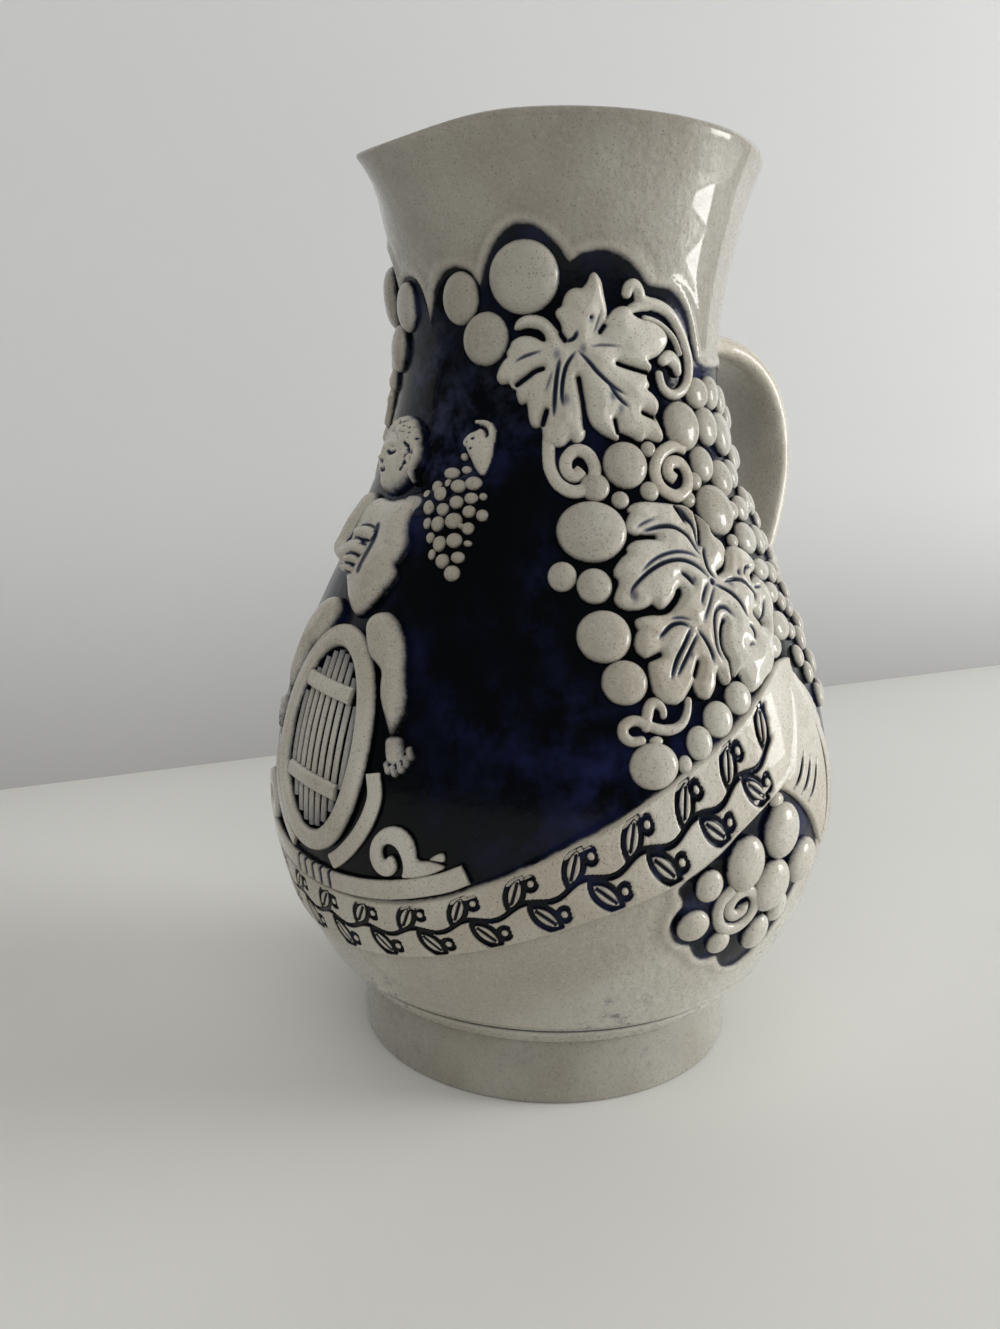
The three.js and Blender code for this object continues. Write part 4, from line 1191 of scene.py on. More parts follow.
# %% The tree for grapes
GRAPE_DETAIL = 4
GRAPE_FULLNESS = 2.4
GRAPE_UNEVENNESS = 0.03
GRAPE_SEED = 5
grape_tree, given, grape_end = new_geometry_tree("grapes_on_points", [
    ("Detail", "Int", GRAPE_DETAIL), ("Fullness", "Float", GRAPE_FULLNESS),
    ("Unevenness", "Float", GRAPE_UNEVENNESS), ("Seed", "Int", GRAPE_SEED),
])
ball = add_node(grape_tree, "GeometryNodeMeshIcoSphere", Radius=1.0, Subdivisions=given["Detail"])
x, y, z = split(grape_tree, position(grape_tree))
flat_reach = (x ** 2.0 + y ** 2.0).math("SQRT")
power_sum = flat_reach ** given["Fullness"] + z.math("ABSOLUTE") ** given["Fullness"]
swollen = add_node(
    grape_tree, "ShaderNodeVectorMath", {"operation": "SCALE"},
    Vector=position(grape_tree), Scale=power_sum ** (-1.0 / given["Fullness"]),
)
bun = add_node(grape_tree, "GeometryNodeSetPosition", Geometry=ball, Position=swollen)
size, turned = (
    add_node(grape_tree, "GeometryNodeInputNamedAttribute", {"data_type": "FLOAT_VECTOR"}, Name=label)
    for label in ("size", "turn")
)
uneven = add_node(
    grape_tree, "FunctionNodeRandomValue", {"data_type": "FLOAT"},
    Min=1.0 - given["Unevenness"], Max=given["Unevenness"] + 1.0, Seed=given["Seed"],
)
grown = add_node(grape_tree, "ShaderNodeVectorMath", {"operation": "SCALE"}, Vector=size, Scale=uneven)
facing = add_node(grape_tree, "FunctionNodeEulerToRotation", Euler=turned)
height_share = split(grape_tree, position(grape_tree))[2]
marked = add_node(
    grape_tree, "GeometryNodeStoreNamedAttribute", {"data_type": "FLOAT", "domain": "POINT"},
    Geometry=bun, Name="bare", Value=height_share,
)
placed = add_node(
    grape_tree, "GeometryNodeInstanceOnPoints",
    Points=given["Geometry"], Instance=marked, Rotation=facing, Scale=grown,
)
end_tree(grape_tree, grape_end, placed, given["Material"])
print("inputs of the grape tree:", list(given))

# %% [markdown]
# Each grape needs a turn as well, because a bun lies flat on the wall and the wall slopes. Its turn is
# that of a small frame whose first axis runs level round the jug and whose third points straight out of
# the clay.

# %% Set grapes on the wall
GRAPE_RISE = 0.9


def turn_onto_wall(azimuth, normal):
    """The Euler angles that stand a bun upright on the wall."""
    angle = math.radians(azimuth)
    level = np.array([-math.sin(angle), math.cos(angle), 0.0])
    normal = normal / np.linalg.norm(normal)
    return list(Matrix(np.stack([level, np.cross(normal, level), normal], -1).tolist()).to_euler())


def set_grapes(name, grapes, detail=GRAPE_DETAIL, rise_by=0.2, hem=0.5):
    """Grapes of (azimuth, height, width, tall or width) in mm. The hem is what the cobalt covers."""
    places = np.array([grape[:2] for grape in grapes], float)
    widths, talls = (np.array([grape[which] for grape in grapes], float) + hem for which in (2, -1))
    out = on_wall(*places.T, 1.0) - on_wall(*places.T)
    turns = np.array([turn_onto_wall(azimuth, normal) for (azimuth, _), normal in zip(places, out)])
    rises = GRAPE_RISE + rise_by * np.minimum(widths, talls)
    mesh = plain_mesh(name, on_wall(*places.T).tolist())
    add_mark(mesh, "size", np.stack([widths / 2, talls / 2, rises], -1) * MM, "FLOAT_VECTOR")
    add_mark(mesh, "turn", turns, "FLOAT_VECTOR")
    return run_tree(grape_tree, name, mesh, {"Detail": detail})


print("a grape 10 mm wide rises by mm:", GRAPE_RISE + 0.2 * 10)

# %% Clusters of grapes
GRAPES = {
    "neck": [(37, 213.8, 17), (24.4, 199.6, 11.8, 12.4), (15, 209.6, 10.5, 12.6)],
    "shoulder": [
        (58.5, 163.9, 7), (67.4, 169.2, 11, 11.3), (73.9, 163, 4.7), (65.1, 160.9, 4.1), (75.4, 173.2, 3.7),
    ],
    "flank": [
        (90.2, 165.4, 4.5), (95, 169.6, 8.1, 9), (89, 179, 11.8, 12.6), (101.6, 179.2, 9.4, 10),
        (99, 187.6, 9.6, 7.9), (108, 188, 8.4, 8.6), (95.2, 158, 13.5, 13.4), (106.6, 150.5, 10.5, 8.8),
        (109, 142.4, 9, 5.8), (110, 136.4, 7.6, 5.6), (107, 128.3, 11, 8), (100.8, 124.2, 7.8, 6.6),
        (103.6, 166, 9.6, 9.8), (111.8, 177.4, 11, 12), (104.2, 157.8, 6, 5), (110.6, 158, 8.6, 7),
        (112, 167, 7, 8), (86.2, 161, 4.1), (99.4, 150.2, 4, 3.6), (116, 149.6, 7, 8.6),
        (115.6, 141, 6, 6), (114.6, 133.6, 5, 5.4), (113.4, 126, 5, 4.6), (118.4, 160, 6, 8),
        (119.6, 171.6, 6, 9), (117, 186.4, 7, 8), (124.8, 182, 7.6, 8), (126.5, 171.5, 6.4, 7),
        (124.8, 159, 6.4, 7), (122.4, 149, 6.4, 6), (121.8, 140.6, 7.4, 7), (119.4, 131.4, 5, 5.6),
        (119.6, 123, 6.8, 7), (112.6, 119.6, 5.4, 6), (116.4, 114.6, 5.4, 6), (124.6, 115.6, 6, 7.4),
        (125.6, 126.2, 7, 7.4), (127.6, 134.6, 5, 5.4), (128.6, 144, 7.4, 8), (129.6, 154.2, 5.4, 6),
        (121.2, 107.2, 6.2, 6.6), (127.6, 107, 5.4, 6.4),
    ],
    "belly": [
        (57, 153.4, 17, 15.2), (50, 143.1, 6.4, 6.9), (57, 141, 8.3, 8.6), (58.3, 129.7, 12.7, 12.4),
        (61.7, 119.5, 10.9, 10.4),
    ],
    "waist": [
        (66, 100.9, 11.9, 10.8), (75.1, 105.1, 6.5, 7.8), (79.7, 109.9, 8.3, 8.6), (85.5, 114, 7.7, 7.9),
        (71.9, 100.6, 3.2, 4.2), (96.5, 120.3, 3.5, 3), (66.8, 106.4, 3, 2),
    ],
    "low": [
        (76.7, 70.5, 7.4, 8.2), (84.3, 74.3, 11.5, 13.9), (93.4, 80.2, 13.4, 14.5), (92, 66, 13.3, 14),
        (74.5, 60.3, 8.7, 8.2), (81.2, 53.6, 6.5, 6.5), (91.2, 52.7, 8.9, 10), (96.4, 58, 7.2, 8.5),
        (102, 69, 13.5, 12), (92.2, 88.2, 4.7, 3.5),
    ],
}
for name, grapes in GRAPES.items():
    dress_pair(set_grapes(f"fruit_{name}_right", grapes), [f"grapes_{name}"])

# %% The bunch in the hand
BUNCH = [
    (19.2, 167.5, 4.7, 3.0), (22.2, 164.4, 4.3, 3.3), (26.6, 165.2, 4.7, 3.5), (15.3, 164, 2.7, 3.3),
    (17.2, 162.3, 3.9, 3.8), (12.6, 161.9, 2.2, 2.8), (22.6, 160.5, 3.8, 3.4), (26.7, 161.6, 3.8, 2.9),
    (30, 162.1, 2.0, 1.8), (14.3, 159, 3.1, 4.0), (19, 158.6, 3.5, 3.4), (26.8, 158.4, 3.6, 3.2),
    (30.6, 157.6, 3.1, 3.0), (23, 156, 4.9, 4.3), (18.5, 155.1, 3.4, 4.0), (15.1, 155.1, 2.0, 3.0),
    (27.4, 154.4, 3.3, 3.2), (25.4, 154.9, 1.7, 1.5), (24.4, 151.4, 4.3, 3.8), (20.5, 150.4, 3.5, 4.2),
    (17.3, 151.7, 2.1, 2.8), (28.1, 150.9, 2.2, 1.5), (19.1, 147.8, 1.8, 2.8), (22.5, 146.4, 3.7, 3.8),
    (26.3, 147.5, 3.8, 3.0), (25.7, 143.7, 4.1, 3.9), (18.7, 165, 1.8, 2.3), (23.8, 168.4, 2.8, 2.0),
    (22.3, 171.6, 2.0, 2.0),
]
BUNCH_SHIFT = (-1.0, -0.9)
BUNCH_DETAIL = 3
bunch = [(azimuth + BUNCH_SHIFT[0], height + BUNCH_SHIFT[1], *size) for azimuth, height, *size in BUNCH]
bunch_in_hand = set_grapes("bunch_in_hand", bunch, BUNCH_DETAIL, rise_by=0.34, hem=0.15)
dress(bunch_in_hand, ["figure_grape_bunch"])

# %% [markdown]
# ## Vine leaves
#
# A vine leaf has five lobes round one node, with ragged edges. The mould-maker cut it as a soft pillow
# with a vein along each lobe: a fine ridge between two grooves. The outline is drawn, the distance
# field swells it, and the grooves are pressed in along drawn lines. How deep a place lies in them
# is kept as the mark "groove".

# %% Sizes of a leaf
LEAF_PITCH = 0.3
LEAF_RISE = 2.2
LEAF_EDGE = 1.7
GROOVE_DEPTH = 0.85
GROOVE_WIDTH = 0.46
LEAF_PUFF = 0.5
LEAF_SPREAD = 0.4
SLIT_WIDTH = 0.35
SMUDGE_STAIN = 0.36
SMUDGE_SPREAD = (1.2, 1.8)
print("a leaf rises by mm:", LEAF_RISE)

# %% Draw the leaves
UPPER_LEAF = {
    "range": ((27, 87), (170, 217)),
    "outline": [
        (58.5, 215), (60.5, 213), (61.2, 210.5), (62.5, 207), (62.8, 204.8), (62.2, 203), (64, 205.5),
        (66, 207), (69, 207.5), (70.5, 207), (71, 205.8), (74, 204.6), (76.5, 204.5), (80, 203.8),
        (83, 202.5), (84.7, 200.5), (83.8, 198.2), (81, 196.2), (77.8, 195.3), (76.8, 194.9),
        (78.5, 193.5), (77.5, 192), (76, 191), (77.5, 188.5), (76, 187.8), (78.5, 186.5), (80.3, 184.5),
        (79.8, 182.5), (78.2, 181.2), (79.5, 179), (80.5, 177), (80.2, 175), (77.5, 175.2), (74.5, 176),
        (72.8, 174.8), (70, 176.2), (66, 177.6), (66, 176.5), (65.8, 175.2), (64, 175.6), (60.5, 177.2),
        (58, 179), (57, 182), (56.3, 185.5), (55.5, 187.5), (54.2, 187), (55, 184), (55.8, 180.5),
        (56.3, 177), (55.5, 175), (53.2, 174.3), (52.3, 175.6), (51.5, 174.8), (49.5, 173.4),
        (47.5, 173.4), (44.3, 174), (44.2, 177), (43.7, 178.8), (42.5, 178), (40.8, 178.3), (40, 180),
        (39.6, 182.5), (39, 184.3), (37, 183.5), (35.8, 185.5), (35.7, 187.2), (34.2, 187.6), (33, 189),
        (30.5, 188.5), (29, 189.8), (29.5, 192), (31, 194), (32.5, 195), (31.8, 196), (33, 197.5),
        (33.5, 198.8), (36.5, 200), (40, 199.8), (43.5, 198.3), (44.5, 198.8), (43.5, 201), (41, 202),
        (38, 202.2), (35, 201.5), (34, 201.8), (35, 203.8), (38, 205), (42, 204.8), (45, 203.5),
        (47.5, 201), (49, 200.3), (49.4, 201.5), (48.5, 203.5), (47, 205), (47.3, 206.2), (49, 206.8),
        (49.3, 208.5), (50.3, 210.2), (52.5, 211.3), (55, 211), (56.5, 212.5), (57.3, 214.5),
    ],
    "grooves": [
        (1.0, [(48.5, 194.5), (47.7, 190), (47.3, 185), (47.2, 180.6)]),
        (1.0, [(53, 196), (50.5, 193), (49.6, 190), (49.2, 186), (49.8, 183)]),
        (0.9, [(53.9, 196.3), (57, 194), (60, 191), (64, 188), (68, 186)]),
        (0.8, [(63, 188.5), (66, 185), (69, 183)]),
        (0.6, [(35, 193.5), (38, 195), (43, 196.3)]), (1.0, [(50.5, 198.7), (52.8, 199.3), (53.5, 201)]),
        (0.45, [(57, 197.4), (61.6, 198), (67, 197.6)]), (0.4, [(60.4, 206), (59.6, 203), (58.4, 200.6)]),
        (0.4, [(44.6, 186), (45.6, 189), (46.4, 191.6)]),
    ],
    "smudges": [
        (64.2, 185.4, 1.0), (66.6, 182.4, 0.9), (47.6, 195.4, 1.0), (55.4, 196.8, 0.9), (50.4, 184.6, 1.1),
        (57.6, 204.2, 0.8),
    ],
    "slits": [
        [(66.8, 193.8), (70, 193), (77, 191.8)], [(35.6, 188.2), (38.6, 190), (41, 191.6), (43.4, 192.2)],
        [(56.4, 178), (56, 183), (55, 187.6), (54.4, 190)], [(66, 177), (65.4, 180)],
        [(78, 180.9), (74.6, 182)], [(44, 178.6), (45, 182)], [(62.2, 202.6), (61, 201.2)],
        [(48.6, 200.6), (50, 199)],
    ],
    "pits": [(57.5, 204.5, 0.4)],
}
LOWER_LEAF = {
    "range": ((59, 107), (112, 163)),
    "outline": [
        (61.2, 143.8), (63.5, 147), (65.5, 148.3), (65.2, 149.5), (67, 151), (70, 151.3), (72.5, 151.6),
        (71, 152.7), (68, 152.6), (65.8, 153.3), (65.5, 154.5), (66.5, 156.5), (67.5, 157.8),
        (66.5, 158.3), (68, 159.7), (71, 160.3), (75, 160), (78, 159.8), (80.6, 159.4), (83.5, 159.3),
        (85.3, 157.9), (86.6, 157.3), (88, 156), (89.8, 154.5), (90, 152), (92.5, 150.5), (93.2, 148.5),
        (93, 146.2), (95, 148.5), (98, 149), (101, 147.8), (103.5, 145.5), (104, 143.5), (102.5, 141.5),
        (105.5, 139), (105.8, 136), (105.5, 133.5), (104, 131), (103, 130.5), (101.5, 127), (99.5, 124.6),
        (98.6, 121.4), (96.4, 118.4), (94, 117.4), (91.6, 115.6), (88.8, 114.6), (87.6, 116.4),
        (87.2, 118.8), (86.4, 120), (85.4, 118.6), (84.9, 120.6), (84.4, 121.2), (84.6, 118.8),
        (83.2, 117.2), (81.9, 118.3), (81.4, 121), (80.6, 119.6), (80, 117), (78, 114.4), (75.8, 115.8),
        (75.5, 118.5), (76, 120), (74.5, 117.5), (72, 114.2), (69, 114.6), (67.2, 116.6), (66.8, 119.8),
        (66.7, 122.4), (67, 123.6), (68.4, 124.8), (66.3, 124.7), (65, 125.8), (64.4, 127.2),
        (64.7, 128.9), (65.1, 130), (65.8, 130.9), (65.2, 131.7), (65, 133), (66.4, 133.7), (68.9, 134),
        (71, 133.8), (73.2, 134.3), (75.1, 135.9), (76.6, 137.5), (77.5, 139.2), (76.8, 140.4),
        (75.5, 139.8), (74.9, 138.5), (73.7, 137.2), (72.4, 136.1), (71.3, 135.6), (70.2, 135.9),
        (69.4, 137), (67.5, 135.9), (65, 135.5), (62.5, 135.9), (61, 137.4), (61.5, 139), (63, 142),
    ],
    "grooves": [
        (1.0, [
            (64.3, 138), (64.9, 140.2), (69.3, 143.9), (73.7, 145.9), (78.2, 146.2), (81.9, 144.4),
            (83.9, 141.8),
        ]),
        (0.7, [(67.2, 143.6), (70.9, 146.6), (75.4, 148), (79.5, 147.9), (82.9, 146.3)]),
        (1.0, [(77, 143.3), (78.8, 142), (79.8, 140.2)]), (0.5, [(73, 156), (70.2, 155.2), (67.7, 153.9)]),
        (1.0, [(83.4, 147.4), (81.3, 151.6), (78.5, 153.6), (74.6, 154.3), (69.6, 153.2)]),
        (0.9, [(84.1, 148.6), (83.9, 154.4), (82.2, 157.6), (80.5, 159.4)]),
        (0.7, [(83.4, 140.4), (81.6, 138), (80.4, 135.6)]),
        (0.6, [(85, 139.6), (82.6, 135.6), (79.8, 131.6)]),
        (1.0, [(76.4, 130.4), (74.2, 126.9), (72.4, 124.4), (70.3, 119.8)]),
        (1.0, [(77.4, 128.7), (75.6, 125.9), (73.6, 123.1), (71.6, 120.2)]),
        (1.0, [(76.1, 130.8), (74.5, 131.9), (72.1, 131.5), (69.2, 128.8)]),
        (0.5, [(77, 132.2), (74.7, 133.2), (72.3, 132.9)]),
        (0.9, [(77.9, 130), (79.3, 127.6), (80.3, 124.8), (80.3, 122.6)]),
        (1.0, [(85.2, 140.1), (88.6, 138.5), (91.6, 135.7), (92.6, 132)]),
        (1.0, [(89, 140.4), (92.6, 140.9), (95.8, 139.7), (98.1, 137.1), (97.7, 135.3)]),
        (0.9, [
            (88.7, 132.3), (87, 134.7), (84.4, 134.6), (82.9, 132.2), (82.4, 129.2), (81.9, 125.4),
            (82.8, 123),
        ]),
        (1.0, [(86, 149), (84.5, 146.4), (84.5, 143.4), (86.3, 141.6)]),
        (0.9, [(96.3, 141.6), (98, 143.2), (100.5, 143.4)]), (0.6, [(94.4, 141.6), (95, 143)]),
        (0.8, [(92.4, 129.9), (93.4, 128.4), (92.9, 126.3)]), (0.6, [(99.5, 138.2), (102, 138.3)]),
        (0.5, [(90.4, 125), (91.4, 125.6), (92.3, 125)]), (0.7, [(100.6, 135), (99.4, 131.6), (97, 129)]),
    ],
    "smudges": [(65, 138.4, 1.1), (80, 141.4, 0.6), (75.4, 124.8, 0.8), (90.4, 140.2, 0.9)],
    "slits": [
        [
            (84.7, 119), (84.9, 120.8), (85, 122.7), (84.4, 123.9), (83.9, 125.9), (84.2, 128), (85, 130),
            (86, 131.4),
        ],
        [(76.5, 139.5), (75.8, 138.4), (74.8, 137.1), (73.5, 135.9), (72, 134.9)],
        [(93, 146.4), (91.8, 144), (88.6, 142.8)], [(72.8, 152), (69, 152.1)], [(80.4, 159), (82.2, 155.8)],
        [(98.6, 129.8), (96.4, 132.4)], [(102.6, 141.6), (100, 140.4)], [(66.6, 124.2), (69.4, 125.3)],
        [(76, 120), (77.4, 123)], [(86.4, 157.4), (86.6, 154), (85.4, 150)],
    ],
    "pits": [(86.1, 131.6, 0.6), (84.9, 140.6, 0.8)],
}
print("points in the leaves' outlines:", len(UPPER_LEAF["outline"]), len(LOWER_LEAF["outline"]))


# %% Press the leaves
def press_leaf(name, leaf):
    field = Field(*leaf["range"], LEAF_PITCH)
    depth = field.depth(leaf["outline"], 1) + LEAF_SPREAD
    for slit in leaf["slits"]:
        depth = np.minimum(depth, field.gap(slit, 1)[0] - SLIT_WIDTH)
    lift = pillow(depth, LEAF_EDGE, LEAF_RISE) + 0.7 * smooth_step(0.8, 5.0, depth)
    cut = np.zeros(depth.shape)
    nearest = np.full(depth.shape, 9.0)
    for strength, path in leaf["grooves"]:
        gap, share = field.gap(path)
        ends = np.sin(np.pi * np.clip(share, 0.02, 0.98)) ** 0.4
        cut = np.maximum(cut, strength * ends * bell(gap, GROOVE_WIDTH))
        nearest = np.minimum(nearest, gap)
    for *place, size in leaf["pits"]:
        cut = np.maximum(cut, field.bump(place, size, size))
    stain = cut.copy()
    for *place, size in leaf["smudges"]:
        smudge = field.bump(place, *(size * spread for spread in SMUDGE_SPREAD))
        stain = np.maximum(stain, SMUDGE_STAIN * smudge)
    lift = lift + LEAF_PUFF * smooth_step(0, 3.5, nearest) * smooth_step(0, 2, depth)
    lift -= GROOVE_DEPTH * cut * smooth_step(0, 1.0, depth)
    return press(name, field, lift, LEAF_RISE, {"groove": stain})


for place, leaf in (("upper", UPPER_LEAF), ("lower", LOWER_LEAF)):
    dress_pair(press_leaf(f"vine_leaf_{place}_right", leaf), [f"leaf_{place}"])

# %% [markdown]
# ## The banner
#
# The banner sweeps round the front, low in the middle and high at its ends. Each azimuth has a lower
# and an upper edge, so a section stands upright at each step and the loft follows the edges. It carries
# a garland, as old jugs do: a stem with pairs of leaves and berries, cut into the wet clay. The cut is
# worked out in the ribbon's own flat coordinates, the way along and the way across.

# %% The banner's edges
BANNER_UPPER = [*BANNER_SWEEP, (80, 105.4), (90.6, 113.8), (95.2, 117.4), (100, 120.4), (107, 121)]
BANNER_LOWER = [
    (0, 44.6), (10, 45.4), (25, 49.6), (40, 56.2), (53, 63), (70.3, 72), (75, 76.3), (80, 80.5),
    (85, 84.7), (90, 88.5), (94.5, 91.5), (100, 97), (107, 104),
]
BANNER_END = 105.0
GARLAND_END = 93.0
BANNER_STEP = 0.26
BANNER_ACROSS = 49
BANNER_RISE = 1.75
print("the banner reaches round to degrees:", BANNER_END)

# %% The garland
GARLAND_REPEAT = 15.0
GARLAND_CUT = 0.8
GARLAND_REACH = 8.2
STEM_SWING = 0.9
LEAF_LEAN = 54
LEAF_SIZE = (4.4, 2.1)
LEAF_SHIFT = 2.4
LEAF_PLACE = (1.5, 3.9)
BERRY_PLACE = (5.9, 4.6)
BERRY_RADIUS = 1.45
STROKE_SOFTNESS = 0.28


def lens(x, y, half_length, half_width):
    """The distance to a pointed leaf shape along x, negative inside it."""
    x, y = np.abs(x), np.abs(y)
    radius = (half_length**2 + half_width**2) / (2 * half_width)
    sink = radius - half_width
    beyond = (x - half_length) * sink > y * half_length
    return np.where(beyond, np.hypot(x - half_length, y), np.hypot(x, y + sink) - radius)


def stroke(distance, half_width=0.5):
    """A cut line of even width along a distance of zero."""
    return smooth_step(half_width + STROKE_SOFTNESS, half_width - STROKE_SOFTNESS, np.abs(distance))


def repeated(along):
    """The way along from the middle of the repeat that a place lies in."""
    return along % GARLAND_REPEAT - GARLAND_REPEAT / 2


def garland(along, across):
    """How deep the ornament is cut, from 0 to 1, at mm along and across the ribbon."""
    stem = STEM_SWING * np.sin(2 * np.pi * along / GARLAND_REPEAT)
    cut = stroke(across - stem, 0.62)
    local = repeated(along + GARLAND_REPEAT / 4)
    for side in (1, -1):
        from_shift = local + LEAF_SHIFT * side
        from_leaf = from_shift - LEAF_PLACE[0], across - LEAF_PLACE[1] * side
        x, y = turn_axes(*from_leaf, LEAF_LEAN * side)
        cut = np.maximum(cut, stroke(lens(x, y, *LEAF_SIZE), 0.6))
        cut = np.maximum(cut, 0.8 * stroke(y, 0.35) * (np.abs(x) < 2.9))
        berry_x = repeated(from_shift + GARLAND_REPEAT / 2) - BERRY_PLACE[0]
        berry = np.hypot(berry_x, across - BERRY_PLACE[1] * side) - BERRY_RADIUS
        cut = np.maximum(cut, stroke(berry, 0.55))
    return cut


print("a repeat of the garland in mm:", GARLAND_REPEAT)

# %% Loft the banner
BANNER_SINK = 0.2
HEM_START = 0.9
HEM_LINE = (0.05, 0.25)
banner_azimuth = np.linspace(-BANNER_END, BANNER_END, round(2 * BANNER_END / BANNER_STEP))
upper_edge, lower_edge = (
    np.interp(np.abs(banner_azimuth), *follow(edge, 0.5).T) for edge in (BANNER_UPPER, BANNER_LOWER)
)
centre_line = (upper_edge + lower_edge) / 2
step_round = np.diff(np.radians(banner_azimuth)) * wall_radius(centre_line[1:])
along = np.concatenate([[0], np.cumsum(np.hypot(step_round, np.diff(centre_line)))])
along -= along[-1] / 2
slope = np.gradient(centre_line, along)
lean = np.cos(np.arctan(slope))
across = np.linspace(-1, 1, BANNER_ACROSS)
off_centre = ((upper_edge - lower_edge) / 2)[:, None] * across
level = centre_line[:, None] + off_centre
shear = (level - centre_line[:, None]) * slope[:, None]
cut = garland(along[:, None] + shear * lean[:, None] ** 2, across * GARLAND_REACH)
cut *= smooth_step(0.93, 0.86, np.abs(across))
cut *= smooth_step(GARLAND_END, GARLAND_END - 3, np.abs(banner_azimuth))[:, None]
from_hem = np.abs(across) - HEM_START
edge = np.sqrt(np.clip(1 - (from_hem / (1 - HEM_START)).clip(0) ** 2, 0, 1))
rim_line = HEM_LINE[1] * bell(from_hem, HEM_LINE[0])
banner_lift = BANNER_RISE * edge - BANNER_SINK + rim_line - GARLAND_CUT * cut
banner_top = on_wall(banner_azimuth[:, None], level, banner_lift)
banner_under = on_wall(banner_azimuth[:, None], level[:, [-1, 0]], SUNK)
under_zero = np.zeros((len(along), 2))
banner = loft("banner_ribbon", np.concatenate([banner_top, banner_under], 1), {
    "bare": np.concatenate([banner_lift / BANNER_RISE, under_zero + UNDERSIDE_MARK], 1),
    "groove": np.concatenate([cut, under_zero], 1),
})
dress(banner, ["banner"])
print("length of the banner in mm:", round(along[-1] * 2))

# %% [markdown]
# The end of the ribbon turns over and hangs down as a tail. Where it turns it is pleated.

# %% Press the ribbon's ends
RIBBON_TAIL = [
    (92.5, 91), (96, 88.8), (101, 84), (105, 79), (108.5, 73.5), (113, 67.5), (117.5, 68.5), (120, 73),
    (119.6, 82), (118, 92), (114.6, 102), (110, 111), (105.6, 118.4), (101, 118), (99, 108), (96, 100),
]
PLEATS = [
    [(97, 89.4), (99.6, 92.8), (101.4, 97.6)], [(99.6, 87.2), (102.4, 90.8), (104.2, 96)],
    [(102.4, 84.6), (105.2, 88.6), (107, 94.4)], [(111.6, 72), (112.8, 80), (112.4, 92), (110, 102)],
    [(116, 71), (116.6, 80), (115.6, 90)],
]
PLEAT_WIDTH = 0.55
PLEAT_DEPTH = 0.9
field = Field((91, 121), (66, 120), 0.38)
depth = field.depth(RIBBON_TAIL, 1)
cut = np.zeros(depth.shape)
for pleat in PLEATS:
    gap, share = field.gap(pleat)
    cut = np.maximum(cut, np.sin(np.pi * np.clip(share, 0.1, 0.9)) * bell(gap, PLEAT_WIDTH))
tail_lift = pillow(depth, 1.0, 1.35) + 0.5 * smooth_step(0, 5, depth) - PLEAT_DEPTH * cut
ribbon_end = press("ribbon_end_right", field, tail_lift, BANNER_RISE, {"groove": cut})
dress_pair(ribbon_end, ["banner_fold", "banner_tail"])

# %% [markdown]
# ## The boy on the cask
#
# The figure was pressed in one mould, and its parts still read apart: a head with curls, a trunk, a
# folded arm, a raised arm with its fist, and two legs astride the cask. All of them are worked out on
# one grid, so the wash, and the painted shade with it, can settle where one part meets the next. The
# face is a plain calm one, made from soft bumps: brow, closed lids, a short nose, cheeks, lips and chin.

# %% Helpers for a body in low relief
BODY_PITCH = 0.4
body = Field((-26, 34), (94, 186), BODY_PITCH)


def blurred(values, radius):
    """Each value averaged with its neighbours."""
    reach = round(3 * radius)
    kernel = np.exp(-((np.arange(-reach, reach + 1) / radius) ** 2))
    kernel /= kernel.sum()
    for axis in (0, 1):
        padded = np.pad(values, [(reach, reach) if axis == side else (0, 0) for side in (0, 1)], "edge")
        values = np.apply_along_axis(np.convolve, axis, padded, kernel, mode="valid")
    return values


def hollows(lift, radius=2.2, depth=0.4):
    """From 0 on open places to 1 where a place lies well under its surroundings."""
    lift = np.maximum(lift, 0)
    return np.clip((blurred(lift, radius) - lift) / depth - 0.1, 0, 1)


def side_of(places, side):
    """Drawn places on the right, or mirrored to the left with a side of -1."""
    return [(side * azimuth, *rest) for azimuth, *rest in places]


print("places on the body's grid:", body.x.size)

# %% The trunk
TRUNK = [
    (10.5, 160.5), (11, 158.5), (10, 155.5), (10.3, 153), (11.7, 151), (11.9, 148.5), (10.5, 146),
    (9.5, 144.7), (11.2, 143), (11.3, 141.5), (9.8, 139), (8, 135.5), (6, 132.8), (4, 131.1), (2, 130.9),
    (0, 132), (-2.5, 134), (-5.5, 137.5), (-9, 140.3), (-13, 143), (-14, 149), (-15, 155), (-12.5, 159.4),
    (-7, 161), (0, 160), (6, 161.4),
]
TRUNK_REACH = 4.2
TRUNK_RISE = 3.3
TRUNK_SWELLS = [
    (5, 155, 4.2, 3.2, 0.7), (-6, 155, 4.2, 3.2, 0.6), (2.5, 142.5, 6.5, 5.5, 1.3),
    (10, 141.6, 2.2, 2.0, 0.5),
]
CREASES = [[(6, 149), (9, 148.2), (12, 148.6)], [(4.4, 137.6), (7, 138.6), (10, 138)]]
CREASE_WIDTH = 0.6
CREASE_DEPTH = 0.25
trunk = pillow(body.depth(TRUNK), TRUNK_REACH, TRUNK_RISE)
for azimuth, height, wide, high, rise in TRUNK_SWELLS:
    trunk += rise * body.bump((azimuth, height), wide, high) * (trunk > 0)
for crease in CREASES:
    trunk -= CREASE_DEPTH * bell(body.gap(crease)[0], CREASE_WIDTH)
print("the trunk rises by mm:", round(float(trunk.max()), 1))

